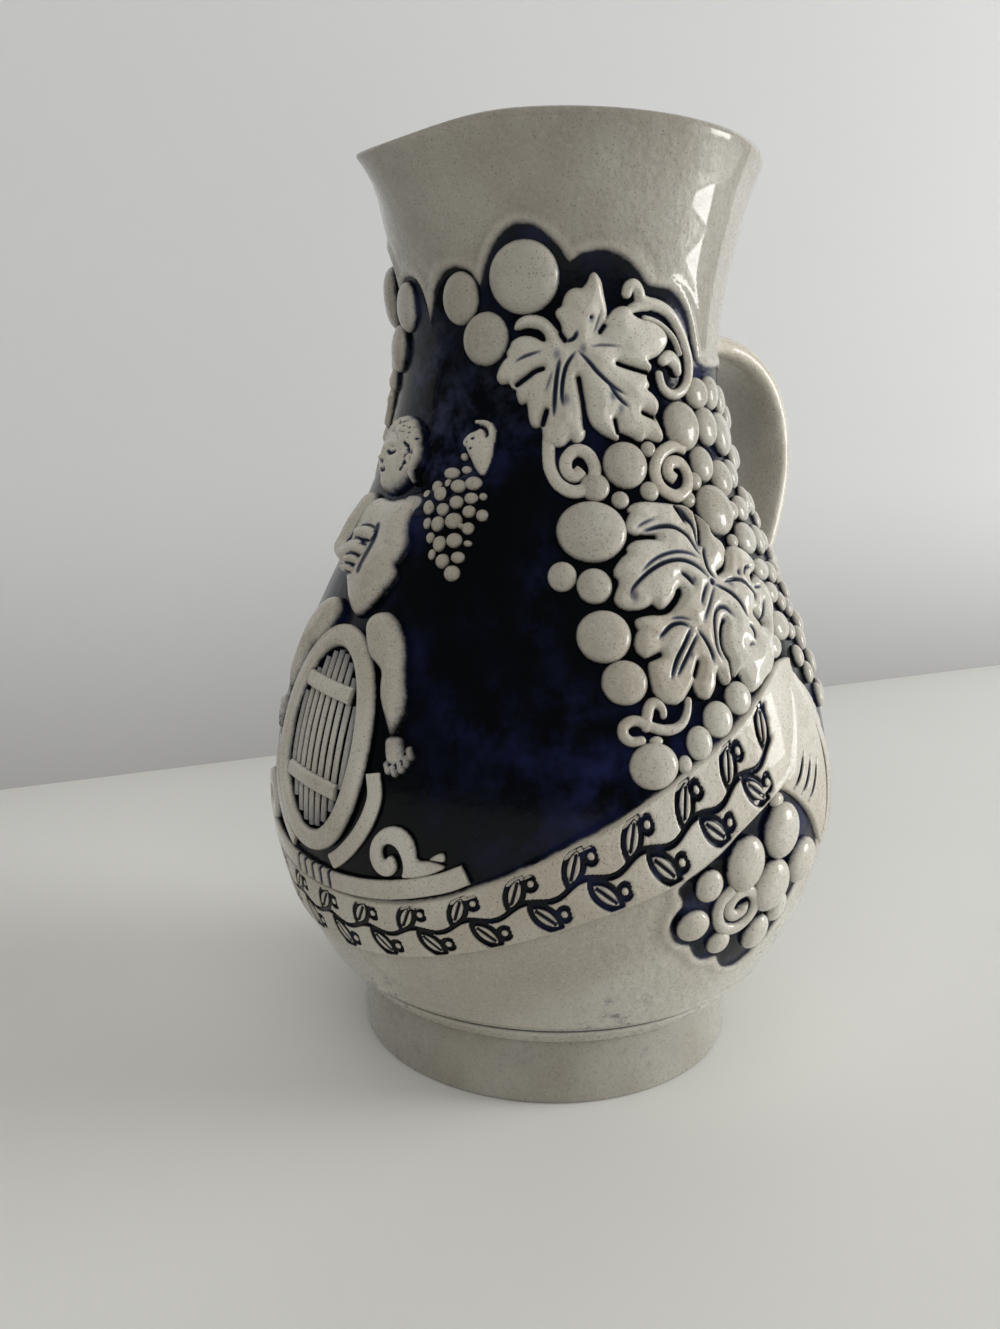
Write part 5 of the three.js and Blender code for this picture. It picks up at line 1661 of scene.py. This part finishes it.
# %% The legs
LEG = [
    (7, 129.5), (8, 132.5), (10.5, 133.9), (13, 133.7), (16, 131.5), (18.3, 128), (19.5, 125), (20, 122),
    (21, 118), (21.8, 114.5), (21.5, 110.5), (20.5, 108), (20, 105.3), (19, 105.3), (17.5, 109),
    (15.5, 113.5), (14.8, 117), (14.7, 119.5), (13, 121), (10.5, 122.5), (8.5, 126),
]
SOLE = [
    (18.2, 105.6), (20, 106.5), (22.3, 106.3), (22.7, 104.3), (23.6, 102.4), (23, 100.6), (21.4, 99),
    (19.4, 99.4), (18.6, 102),
]
TOES = [(19.9, 98, 1.25), (21.3, 97.6, 1.15), (22.5, 98.7, 1.1), (23.5, 100.2, 1.1), (24.1, 102.1, 1.3)]
LEG_HEIGHTS = [97, 106, 114, 122, 134]
LEG_RISES = [2.6, 2.4, 3.8, 4.6, 5.0]
TOE_START = (-0.35, 1.4)
legs = {}
for side, label in ((1, "right"), (-1, "left")):
    leg = pillow(body.depth(side_of(LEG, side)), 4.0, np.interp(body.height, LEG_HEIGHTS, LEG_RISES))
    sole = pillow(body.depth(side_of(SOLE, side)), 2.2, 2.7)
    for azimuth, height, radius in side_of(TOES, side):
        toe_path = [(azimuth + side * TOE_START[0], height + TOE_START[1]), (azimuth, height)]
        sole = np.maximum(sole, limb(body, toe_path, [radius, radius], [2.3, 2.1]))
    legs[f"leg_{label}"] = np.maximum(leg, sole)
print("legs:", list(legs))

# %% The folded arm
FINGERS = [(150.7, 2.3, -0.2), (146.4, 2.0, -0.9), (143.7, 1.7, -1.5), (141.5, 1.2, -2.6)]
FINGER_RISES = [5.5, 5.9, 5.0]
folded = blend_up(
    limb(body, [(-11.5, 157.5), (-15, 150.5), (-14.5, 146)], [4.2, 4.0, 3.6], [4.6, 5.2, 5.2]),
    limb(body, [(-14.5, 146), (-10.5, 144.6), (-6.5, 146)], [3.6, 3.1, 2.7], [5.2, 5.3, 5.0]),
)
folded = blend_up(folded, limb(body, [(-7, 146.2), (-4.6, 146.6)], [3.6, 3.8], [5.4, 5.2]))
for height, half, tip in FINGERS:
    finger_path = [(-6.2, height - 0.4), (-3, height), (tip, height - 0.3)]
    folded = np.maximum(folded, limb(body, finger_path, [half] * 3, FINGER_RISES))
print("fingers on the folded arm:", len(FINGERS))

# %% The raised arm and its fist
HAND = [
    (26.5, 178.2), (25.1, 177.6), (24, 177.3), (22.9, 176.4), (21.8, 175), (22.3, 174.1), (23.3, 173.6),
    (23.8, 172.7), (25, 171.4), (26.8, 169), (28.8, 167), (30.2, 166.9), (30.9, 168.2), (31.5, 170.1),
    (31.8, 172), (32, 176.1), (32.1, 177.8), (31.1, 179.2), (29.4, 180.2), (27.1, 180.5), (25.2, 180),
    (25.4, 179.4), (26.6, 179),
]
THUMB = [(26, 179.8), (29, 179.7), (31, 178.4), (31.2, 175)]
THUMB_NOTCH = [(26, 178.8), (28, 178.6), (29.4, 177.6), (29.7, 176.4)]
KNUCKLE_DENTS = [(23.6, 174.9), (25.2, 173.2), (25.6, 175.6)]
DENT_SIZE = (0.8, 0.5)
RAISED_ARM = [(8, 159), (13, 160.5), (19, 163), (26, 167)]
raised = limb(body, RAISED_ARM, [3.4, 3.0, 2.6, 1.6], [2.4, 1.4, 1.2, 1.0])
raised = np.maximum(raised, pillow(body.depth(HAND) + 0.3, 2.2, 3.4))
raised = np.maximum(raised, limb(body, THUMB, [0.8, 0.9, 1.0, 0.8], [3.2, 3.6, 3.8, 3.5]))
raised -= 2.4 * bell(body.gap(THUMB_NOTCH)[0], 0.42) * (raised > 0)
for azimuth, height in KNUCKLE_DENTS:
    dent = ((body.azimuth - azimuth) / DENT_SIZE[0]) ** 2 + ((body.height - height) / DENT_SIZE[1]) ** 2
    raised -= 0.9 * np.exp(-dent) * (raised > 0)
print("the fist rises by mm:", round(float(raised.max()), 1))

# %% [markdown]
# The head is a flat dome. Its hair rises round the face, and the face's bumps and lines are dabbed on
# by their places in mm across and up from the head's middle. The wash stays in the finest lines,
# because the form alone would not show from a step away.

# %% A head to draw on
HEAD_MIDDLE = (-3.5, 171.7)
HEAD_HALF = (9.0, 10.3)
HEAD_RISE = 5.2
FACE = (-2.2, -2.0, 6.4, 7.6)
HAIR_RISE = 0.7


def spot(across, up):
    """A place on the head, in mm from its middle."""
    height = HEAD_MIDDLE[1] + up
    return (HEAD_MIDDLE[0] + math.degrees(across / wall_radius(height)), height)


def dab(across, up, wide, high, tilt=0.0):
    return body.bump(spot(across, up), wide, high, tilt)


def line(places, width):
    return bell(body.gap([spot(*place) for place in places])[0], width)


middle_x, middle_y = body.flat([HEAD_MIDDLE])[0]
u, v = body.x - middle_x, body.y - middle_y
around_head = np.hypot(u / HEAD_HALF[0], v / HEAD_HALF[1])
dome = HEAD_RISE * np.sqrt(1 - np.minimum(around_head, 1) ** 1.6)
skull = np.where(around_head < 1, dome, 16 * (1 - around_head))
face_edge = np.hypot((u - FACE[0]) / FACE[2], (v - FACE[1]) / FACE[3])
hair = smooth_step(0.96, 1.1, face_edge) * smooth_step(-6.5, -3.5, v)
head = skull + HAIR_RISE * hair * (around_head < 1)
print("the head is wide and tall in mm:", *(2 * half for half in HEAD_HALF))

# %% The face
EYES = (-5.0, 0.6)
CHEEKS = (-5.6, 1.2)
MOUTH = [(-3.9, -4.7), (-2.3, -5.0), (-0.7, -4.7)]
NOSE = [(-2.2, 0.8), (-2.3, -2.2)]
NOSTRILS = [[(-3.2, -2.9), (-3, -3.1)], [(-1.6, -3.1), (-1.4, -2.9)]]
LIDS = [[(-6.4, -0.2), (-5, -0.9), (-3.6, -0.2)], [(-0.8, -0.2), (0.6, -0.9), (2, -0.2)]]
for eye in EYES:
    head -= 1.05 * dab(eye, 0.1, 1.9, 1.4)
    head += 0.75 * dab(eye, 0.0, 1.15, 0.8)
    head += 0.5 * dab(eye, 2.1, 1.9, 0.6)
    head -= 0.9 * line([(eye - 1.35, -0.2), (eye, -0.85), (eye + 1.35, -0.2)], 0.36)
head += 1.0 * line(NOSE, 0.8)
head += 0.6 * dab(-2.3, -2.4, 1.15, 0.8)
for cheek in CHEEKS:
    head += 0.6 * dab(cheek, -3.0, 2.0, 1.9)
face_wash = np.maximum.reduce([line(places, 0.5) for places in (*LIDS, MOUTH, *NOSTRILS)])
head -= 1.0 * line(MOUTH, 0.4)
head += 0.45 * dab(-2.3, -4.1, 1.3, 0.4) + 0.5 * dab(-2.3, -5.8, 1.2, 0.5) + 0.7 * dab(-2.3, -8.0, 1.7, 1.2)
print("lines in the face:", len(LIDS) + len(NOSTRILS) + 1)

# %% The hair
CURL_ROWS = ((0.98, 9), (0.74, 6))
CURL_ANGLES = (-18, 188)
CURL_MIDDLE = (0.3, 0.9)
CURL_REACH = (8.0, 8.6)
LOCK = [(5.6, 3.6), (8.4, 1.4), (8.2, -1.4), (7.0, -4.2), (9.4, -6.6)]
PARTING = [(5.0, 2.4), (6.6, 0.6), (6.5, -2.0), (5.2, -4.4)]
curls = [(angle, radius) for radius, count in CURL_ROWS for angle in np.linspace(*CURL_ANGLES, count)]
for angle, radius in curls:
    across = radius * CURL_REACH[0] * math.cos(math.radians(angle)) + CURL_MIDDLE[0]
    up = radius * CURL_REACH[1] * math.sin(math.radians(angle)) + CURL_MIDDLE[1]
    gap = np.hypot(u - across, v - up)
    head += 0.8 * bell(gap, 1.5) * (around_head < 1.02)
    head -= 0.75 * bell(gap, 0.42) + 0.35 * bell(gap - 1.7, 0.35) * hair
lock = limb(body, [spot(*place) for place in LOCK], [1.2, 1.3, 1.2, 1.2, 0.8], [3.6, 3.8, 3.6, 3.2, 2.2])
head = np.maximum(head, lock)
head -= 1.0 * line(PARTING, 0.4) * (around_head < 1)
print("curls:", len(curls))

# %% [markdown]
# The wash settles in the hollows between the parts and on the thin raised arm; in the hollows the dark
# also stands in for their shade, so there it is partly painted shade. Along the inner edge of the folded
# arm runs a painted shadow. In the mould the parts sat a little apart from where they were drawn, so
# each is shifted as it is pressed.

# %% Let the wash settle, paint the shade, and press the parts
ARM_SHADOW = [(0.9, 152.6), (1.6, 147), (1.0, 141.4)]
NODE_OF = {"trunk": "torso"}
TOPS = {"arm_raised": 3.4, "trunk": 3.6, "head": 4.6}
USUAL_TOP = 4.4
SHIFTS = {"leg_right": (-0.4, -1.4), "leg_left": (2.4, -0.3)}
USUAL_SHIFT = (-1.3, -1.0)
parts = {"trunk": trunk, "arm_folded": folded, "arm_raised": raised, "head": head, **legs}
# Cobalt wash in the hollows and face lines, and painted shade where the hollows lie.
wash_and_painted_shade = np.maximum(hollows(np.maximum.reduce(list(parts.values()))), 0.6 * face_wash)
# A painted shadow along the inner edge of the folded arm.
wash_and_painted_shade = np.maximum(wash_and_painted_shade, 0.9 * bell(body.gap(ARM_SHADOW)[0], 0.95) * (folded < 4))
wash_and_painted_shade = np.maximum(wash_and_painted_shade, smooth_step(1.9, 1.4, raised) * (raised > 0) * (trunk < 1) * (head < 0))
drawn_azimuth, drawn_height = body.azimuth, body.height
for label, lift in parts.items():
    across, up = SHIFTS.get(label, USUAL_SHIFT)
    body.azimuth, body.height = drawn_azimuth + across, drawn_height + up
    pressed = press(f"boy_{label}", body, lift, TOPS.get(label, USUAL_TOP), {"groove": wash_and_painted_shade})
    dress(pressed, ["figure_" + NODE_OF.get(label, label)])

# %% [markdown]
# ## The two glazes
#
# Salt glaze is clear and thin. Over bare clay it looks warm grey, with fine brown specks and an orange-
# peel skin. Over cobalt it is a deep blue, nearly black, that goes a brighter blue where it is thin.
# Both need the same skin and the same pooling, so these are node groups. They put out only values that
# change over the surface, and the Principled shader stays in each material.


# %% Shader helpers
def new_group(name, inputs, outputs):
    """A shader node group with numbers going in, and outputs of (label, kind)."""
    inputs = [(label, "Float", default) for label, default in inputs.items()]
    return new_tree(name, "ShaderNodeTree", inputs, outputs)


def object_place(tree):
    return tree.nodes.new("ShaderNodeTexCoord").outputs["Object"]


def noise(tree, scale, detail=3.0, roughness=0.55, distortion=0.0):
    node = add_node(
        tree, "ShaderNodeTexNoise", Vector=object_place(tree),
        Scale=scale, Detail=detail, Roughness=roughness, Distortion=distortion,
    )
    return Flow(node.outputs[0])


def ramp(flow, low, high, start=0.0, end=1.0):
    """Maps a flow from one range to another with soft ends."""
    node = add_node(
        flow.tree, "ShaderNodeMapRange", {"interpolation_type": "SMOOTHSTEP"},
        Value=flow, From_Min=low, From_Max=high, To_Min=start, To_Max=end,
    )
    return Flow(node.outputs[0])


def mix(factor, first, second):
    """Mixes two colours by a flow. Each may be a node or a tuple."""
    return add_node(factor.tree, "ShaderNodeMix", {"data_type": "RGBA"}, Factor=factor, A=first, B=second)


def mark(tree, label):
    """Reads a mark that the mesh carries."""
    return Flow(add_node(tree, "ShaderNodeAttribute", {"attribute_name": label}).outputs["Fac"])


print("marks are read by their labels")

# %% The salt skin
PALE_CLAY = (0.50, 0.48, 0.42, 1)
WARM_CLAY = (0.385, 0.35, 0.29, 1)
SPECK_BROWN = (0.12, 0.10, 0.075, 1)
SPECK_PALE = (0.56, 0.54, 0.49, 1)
SKIN_ROUGHNESS = (0.24, 0.36)
skin_group, given, skin_end = new_group(
    "salt_skin", {"Speck": 1.0, "Peel": 1.0, "Tone": 1.0},
    [("Color", "Color"), ("Roughness", "Float"), ("Height", "Float")],
)
cloud = noise(skin_group, 24.0, 4.0)
fine = noise(skin_group, 900.0, 2.0)
finer = noise(skin_group, 2100.0, 1.0)
peel = noise(skin_group, 420.0, 2.0, 0.4)
clay = mix(ramp(cloud, 0.35, 0.68), WARM_CLAY, PALE_CLAY)
clay = mix(ramp(fine, 0.56, 0.72) * 0.3, clay, SPECK_PALE)
clay = mix(ramp(finer, 0.60, 0.72) * given["Speck"] * 0.6, clay, SPECK_BROWN)
clay = add_node(skin_group, "ShaderNodeVectorMath", {"operation": "SCALE"}, Vector=clay, Scale=given["Tone"])
rough = ramp(fine, 0.3, 0.7, *SKIN_ROUGHNESS)
feed(skin_end, Color=clay, Roughness=rough, Height=peel * given["Peel"] + fine * 0.25)
print("inputs of the salt skin:", list(given))

# %% The cobalt
DEEP_COBALT = (0.0018, 0.0026, 0.0036, 1)
BRIGHT_COBALT = (0.010, 0.014, 0.055, 1)
MILKY_COBALT = (0.075, 0.088, 0.135, 1)
WASH_ROUGHNESS = (0.12, 0.26)
MILKY_SHARE = 0.45
cobalt_group, given, cobalt_end = new_group(
    "cobalt_wash", {"Depth": 1.0}, [("Color", "Color"), ("Roughness", "Float")],
)
drift = noise(cobalt_group, 17.0, 3.0, 0.6, 0.6)
mottle = noise(cobalt_group, 95.0, 4.0, 0.65)
milky = ramp(noise(cobalt_group, 13.0, 2.0, 0.4), 0.52, 0.66) * ramp(mottle, 0.4, 0.75)
blue = mix(ramp(drift, 0.42, 0.66) * ramp(mottle, 0.35, 0.7), DEEP_COBALT, BRIGHT_COBALT)
blue = mix(milky * MILKY_SHARE, blue, MILKY_COBALT)
blue = mix(1.0 - given["Depth"], blue, MILKY_COBALT)
feed(cobalt_end, Color=blue, Roughness=ramp(mottle, 0.3, 0.7, *WASH_ROUGHNESS))
print("inputs of the cobalt wash:", list(given))

# %% [markdown]
# Each glaze mixes the two groups by a share of cobalt. The coat over the cobalt is nearly taken away,
# because the blue is glossy by itself and must stay dark. The skin's height feeds a Bump node, and
# cobalt fills its pores.

# %% Put the glazes together
COAT_ROUGHNESS = 0.05
SPECULAR_LEVEL = 0.14
PEEL_DEPTH = 0.00025
COAT_LOSS = 0.92
PORES_FILLED = 0.8


def use_group(tree, group, **inputs):
    return add_node(tree, "ShaderNodeGroup", {"node_tree": group}, **inputs)


def new_material(name):
    """A material, its tree and its shader."""
    material = bpy.data.materials.new(name)
    material.use_nodes = True
    return material, material.node_tree, material.node_tree.nodes["Principled BSDF"]


def glaze_with_cobalt(name, cobalt_share, peel=1.0, speck=1.0, coat=0.5, tone=1.0):
    """Grey salt glaze and cobalt, mixed by a share that is worked out in the material's own tree."""
    material, tree, shader = new_material(name)
    skin = use_group(tree, skin_group, Speck=speck, Peel=peel, Tone=tone(tree) if callable(tone) else tone)
    share, depth = cobalt_share(tree)
    wash = use_group(tree, cobalt_group, Depth=depth)
    skin_rough, wash_rough = (Flow(node.outputs["Roughness"]) for node in (skin, wash))
    skin_height = Flow(skin.outputs["Height"]) * (1.0 - share * PORES_FILLED)
    bumped = add_node(tree, "ShaderNodeBump", Strength=1.0, Distance=PEEL_DEPTH, Height=skin_height)
    feed(
        shader, Base_Color=mix(share, skin.outputs["Color"], wash.outputs["Color"]), Normal=bumped,
        Roughness=skin_rough * (1.0 - share) + wash_rough * share, Specular_IOR_Level=SPECULAR_LEVEL,
        Coat_Weight=(1.0 - share * COAT_LOSS) * coat, Coat_Roughness=COAT_ROUGHNESS,
    )
    return material


print("a glaze's skin is this deep in mm:", PEEL_DEPTH / MM)


# %% Where the cobalt lies
def sprig_share(low, high, thin=1.0, pool=(0.25, 0.8)):
    """On a sprig the cobalt stays at the foot of its edges and, thinner and bluer, in its cuts."""
    def share(tree):
        ragged = (noise(tree, 700.0, 3.0) - 0.5) * 0.3 + (noise(tree, 120.0, 2.0) - 0.5) * 0.3
        at_foot = ramp(mark(tree, "bare") + ragged, low, high, 1.0, 0.0)
        groove = mark(tree, "groove") + ragged * 0.3
        pooled = ramp(groove, *pool) * thin
        depth = ramp(at_foot, 0.25, 0.85).math("MAXIMUM", pooled)
        return at_foot.math("MAXIMUM", ramp(groove, 0.05, 0.5)), depth
    return share


def height_on_jug(tree):
    return split(tree, object_place(tree))[2]


def stains(tree):
    """Faint specks of blue that ran down over the grey, most of them low on the belly."""
    low = ramp(height_on_jug(tree), 0.06, 0.11, 0.6, 0.15)
    places = ramp(noise(tree, 26.0, 2.0), 0.5, 0.66)
    specks = ramp(noise(tree, 230.0, 4.0, 0.7), 0.5, 0.7)
    return places * specks * low


def wall_share(tree):
    """On the wall the cobalt fills the ground, with a ragged border, and the turned groove, where the dark
    line is partly cobalt and partly a painted shadow.
    """
    ragged = (noise(tree, 260.0, 3.0) - 0.5) * 1.1
    border = ramp(mark(tree, "ground") + ragged, -0.75, 0.35)
    # Partly cobalt and partly painted shadow in the turned groove.
    groove_wash_and_shadow = ramp(mark(tree, "groove"), 0.45, 0.95) * 0.9
    share = border.math("MAXIMUM", groove_wash_and_shadow).math("MAXIMUM", stains(tree))
    return share, ramp(share, 0.25, 0.85)


def breath_of_blue(tree):
    """On the handle and the foot only a breath of blue drifts over the grey."""
    return stains(tree) * 0.5, 0.0


print("the ground under the lip ends at mm:", UPPER_BORDER[0][1])


# %% How pale the grey is, with painted light
def painted_light_by_height(low, high):
    """The grey is painted paler low on the jug than near its rim: painted light."""
    def tone(tree):
        return ramp(height_on_jug(tree), 0.03, 0.2, low, high)
    return tone


def wall_painted_light(tree):
    """On the wall the grey is painted paler low down, and the bead along the border of the cobalt is painted
    paler too: a painted highlight.
    """
    ground = mark(tree, "ground")
    # Painted highlight: the grey on the bead is made 0.14 paler.
    bead = ramp(ground, -2.8, -1.6) * ramp(ground, -1.2, -0.4, 1.0, 0.0)
    return painted_light_by_height(1.07, 0.78)(tree) + bead * 0.14


sprig_glaze = glaze_with_cobalt("salt_glaze_on_sprigs", sprig_share(0.2, 0.75, 0.88), coat=0.75, tone=1.14)
# On the grapes too the grey is painted paler low on the jug: painted light.
grape_glaze = glaze_with_cobalt(
    "salt_glaze_on_grapes", sprig_share(0.05, 0.5), coat=0.65, tone=painted_light_by_height(1.2, 0.88),
)
ribbon_glaze = glaze_with_cobalt(
    "salt_glaze_on_ribbon", sprig_share(0.0, 0.45, pool=(0.05, 0.4)), coat=0.3, tone=1.2,
)
wall_glaze = glaze_with_cobalt(
    "cobalt_and_grey_wall", wall_share, peel=1.5, speck=0.8, coat=0.7, tone=wall_painted_light,
)
# The handle's grey is painted paler than the wall's, in place of light it does not get: painted light.
handle_glaze = glaze_with_cobalt("grey_salt_glaze_plain", breath_of_blue, peel=1.1, tone=1.32)
# The foot's dark tone is partly the browner bare clay and partly painted shade under the belly.
foot_glaze = glaze_with_cobalt(
    "bare_stoneware_foot", breath_of_blue, peel=0.6, speck=0.7, coat=0.8, tone=0.74,
)
print("materials:", [material.name for material in bpy.data.materials])

# %% Glaze the pieces
GLAZES = {
    "thrown_wall": wall_glaze, "turned_foot": foot_glaze, "pulled_handle": handle_glaze,
    "fruit_": grape_glaze, "bunch_": grape_glaze, "banner_ribbon": ribbon_glaze, "ribbon_end": ribbon_glaze,
}
pieces = [thing for thing in bpy.data.objects if thing.type == "MESH" and thing.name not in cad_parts]
for piece in pieces:
    glaze = next((GLAZES[start] for start in GLAZES if piece.name.startswith(start)), sprig_glaze)
    piece.data.materials.append(glaze)
print("glazed pieces:", len(pieces))

# %% [markdown]
# ## Table, wall and light
#
# The jug stands on a pale table, with a pale wall behind it that is darker towards its foot. A window
# low on the right, a little behind the jug, is mirrored in the glaze as bright streaks. Most of the
# light comes from two wide lamps, the glow of the window's side of the room and the light that the room
# gives back from the front. Cobalt looks black only where it mirrors a dim room, so these two are kept
# out of mirror images. For the same reason the world gives little light, and a Light Path node shows
# the camera a pale backdrop instead of it.

# %% Build the table and the wall
WALL_LEFT = (0.0773, -0.3292)
WALL_RIGHT = (-0.6782, -0.1888)
ROOM_REACH = 2.5
WALL_END = 0.3
WALL_TALL = 2.0
SHADE_HEIGHTS = (-0.05, 0.17)
WALL_SHADE = (0.33, 0.325, 0.32, 1)
TABLE_TONES = ((0.74, 0.735, 0.70, 1), (0.8, 0.795, 0.76, 1))
WALL_TONES = ((0.53, 0.53, 0.53, 1), (0.57, 0.57, 0.565, 1))
TABLE_ROUGHNESS = 0.5
WALL_ROUGHNESS = 0.8


def stage_plane(name, corners, tones, rough, shade=None):
    plane = add_to_scene(name, plain_mesh(name, corners, faces=[(0, 1, 2, 3)]))
    paint, tree, shader = new_material(name + "_paint")
    tone = mix(noise(tree, 3.0, 3.0), *tones)
    # Painted shade: the wall's colour darkens towards the table.
    if shade is not None:
        tone = mix(ramp(height_on_jug(tree), *SHADE_HEIGHTS), shade, tone)
    feed(shader, Base_Color=tone, Roughness=rough)
    plane.data.materials.append(paint)
    return plane


start, end = Vector((*WALL_LEFT, 0)), Vector((*WALL_RIGHT, 0))
along_wall = (end - start).normalized()
from_wall = Vector((along_wall.y, -along_wall.x, 0))
near_left, far_left = start - along_wall * WALL_END, start - along_wall * ROOM_REACH
far_right = end + along_wall * ROOM_REACH
to_front = from_wall * ROOM_REACH
table_corners = [far_left, far_left + to_front, far_right + to_front, far_right]
stage_plane("table", table_corners, TABLE_TONES, TABLE_ROUGHNESS)


def wall_plane(name, left, right):
    up = Vector((0, 0, WALL_TALL))
    return stage_plane(name, [left, right, right + up, left + up], WALL_TONES, WALL_ROUGHNESS, WALL_SHADE)


wall_plane("wall", near_left, far_right)
wall_plane("wall_far", far_left, near_left).visible_glossy = False
print("wall behind the jug in mm:", round(abs(start.dot(from_wall)) / MM))

# %% Light the jug
JUG_MIDDLE = (0.0, 0.0, 0.12)
LAMPS = {
    "window": ((142, 2.3, 0.42), (0.66, 0.76), 17.5, (1.0, 0.99, 0.97), True),
    "window_glow": ((145, 3.4, 0.95), (2.0, 1.6), 96.0, (0.965, 0.985, 1.0), False),
    "room_light": ((50, 1.5, 1.5), (2.0, 2.0), 21.0, (1.0, 0.985, 0.96), False),
}


def add_lamp(name, place, size, power, color, mirrored):
    """A flat lamp aimed at the jug, placed by azimuth in degrees, and distance and height in metres."""
    data = bpy.data.lights.new(name, "AREA")
    data.shape = "RECTANGLE"
    data.size, data.size_y = size
    data.energy = power
    data.color = color
    lamp = add_to_scene(name, data)
    lamp.location = around_jug(*place)
    lamp.rotation_euler = (Vector(JUG_MIDDLE) - lamp.location).to_track_quat("-Z", "Y").to_euler()
    lamp.visible_glossy = mirrored


for name, settings in LAMPS.items():
    add_lamp(name, *settings)
print("lamps:", [light.name for light in bpy.data.lights])

# %% The world and its backdrop
ROOM_COLOR = (0.93, 0.96, 1.0, 1)
ROOM_STRENGTH = 0.07
BACKDROP = (0.5, 0.5, 0.495, 1)
world = bpy.data.worlds.new("room")
bpy.context.scene.world = world
world.use_nodes = True
room = world.node_tree.nodes["Background"]
feed(room, Color=ROOM_COLOR, Strength=ROOM_STRENGTH)
backdrop = add_node(world.node_tree, "ShaderNodeBackground", Color=BACKDROP, Strength=1.0)
seen = world.node_tree.nodes.new("ShaderNodeLightPath").outputs["Is Camera Ray"]
both = world.node_tree.nodes.new("ShaderNodeMixShader")
for source, socket in zip((seen, room, backdrop), both.inputs):
    plug(source, socket)
plug(both, world.node_tree.nodes["World Output"].inputs["Surface"])
bpy.context.scene.view_settings.view_transform = "Standard"
print("strength of the room:", ROOM_STRENGTH)
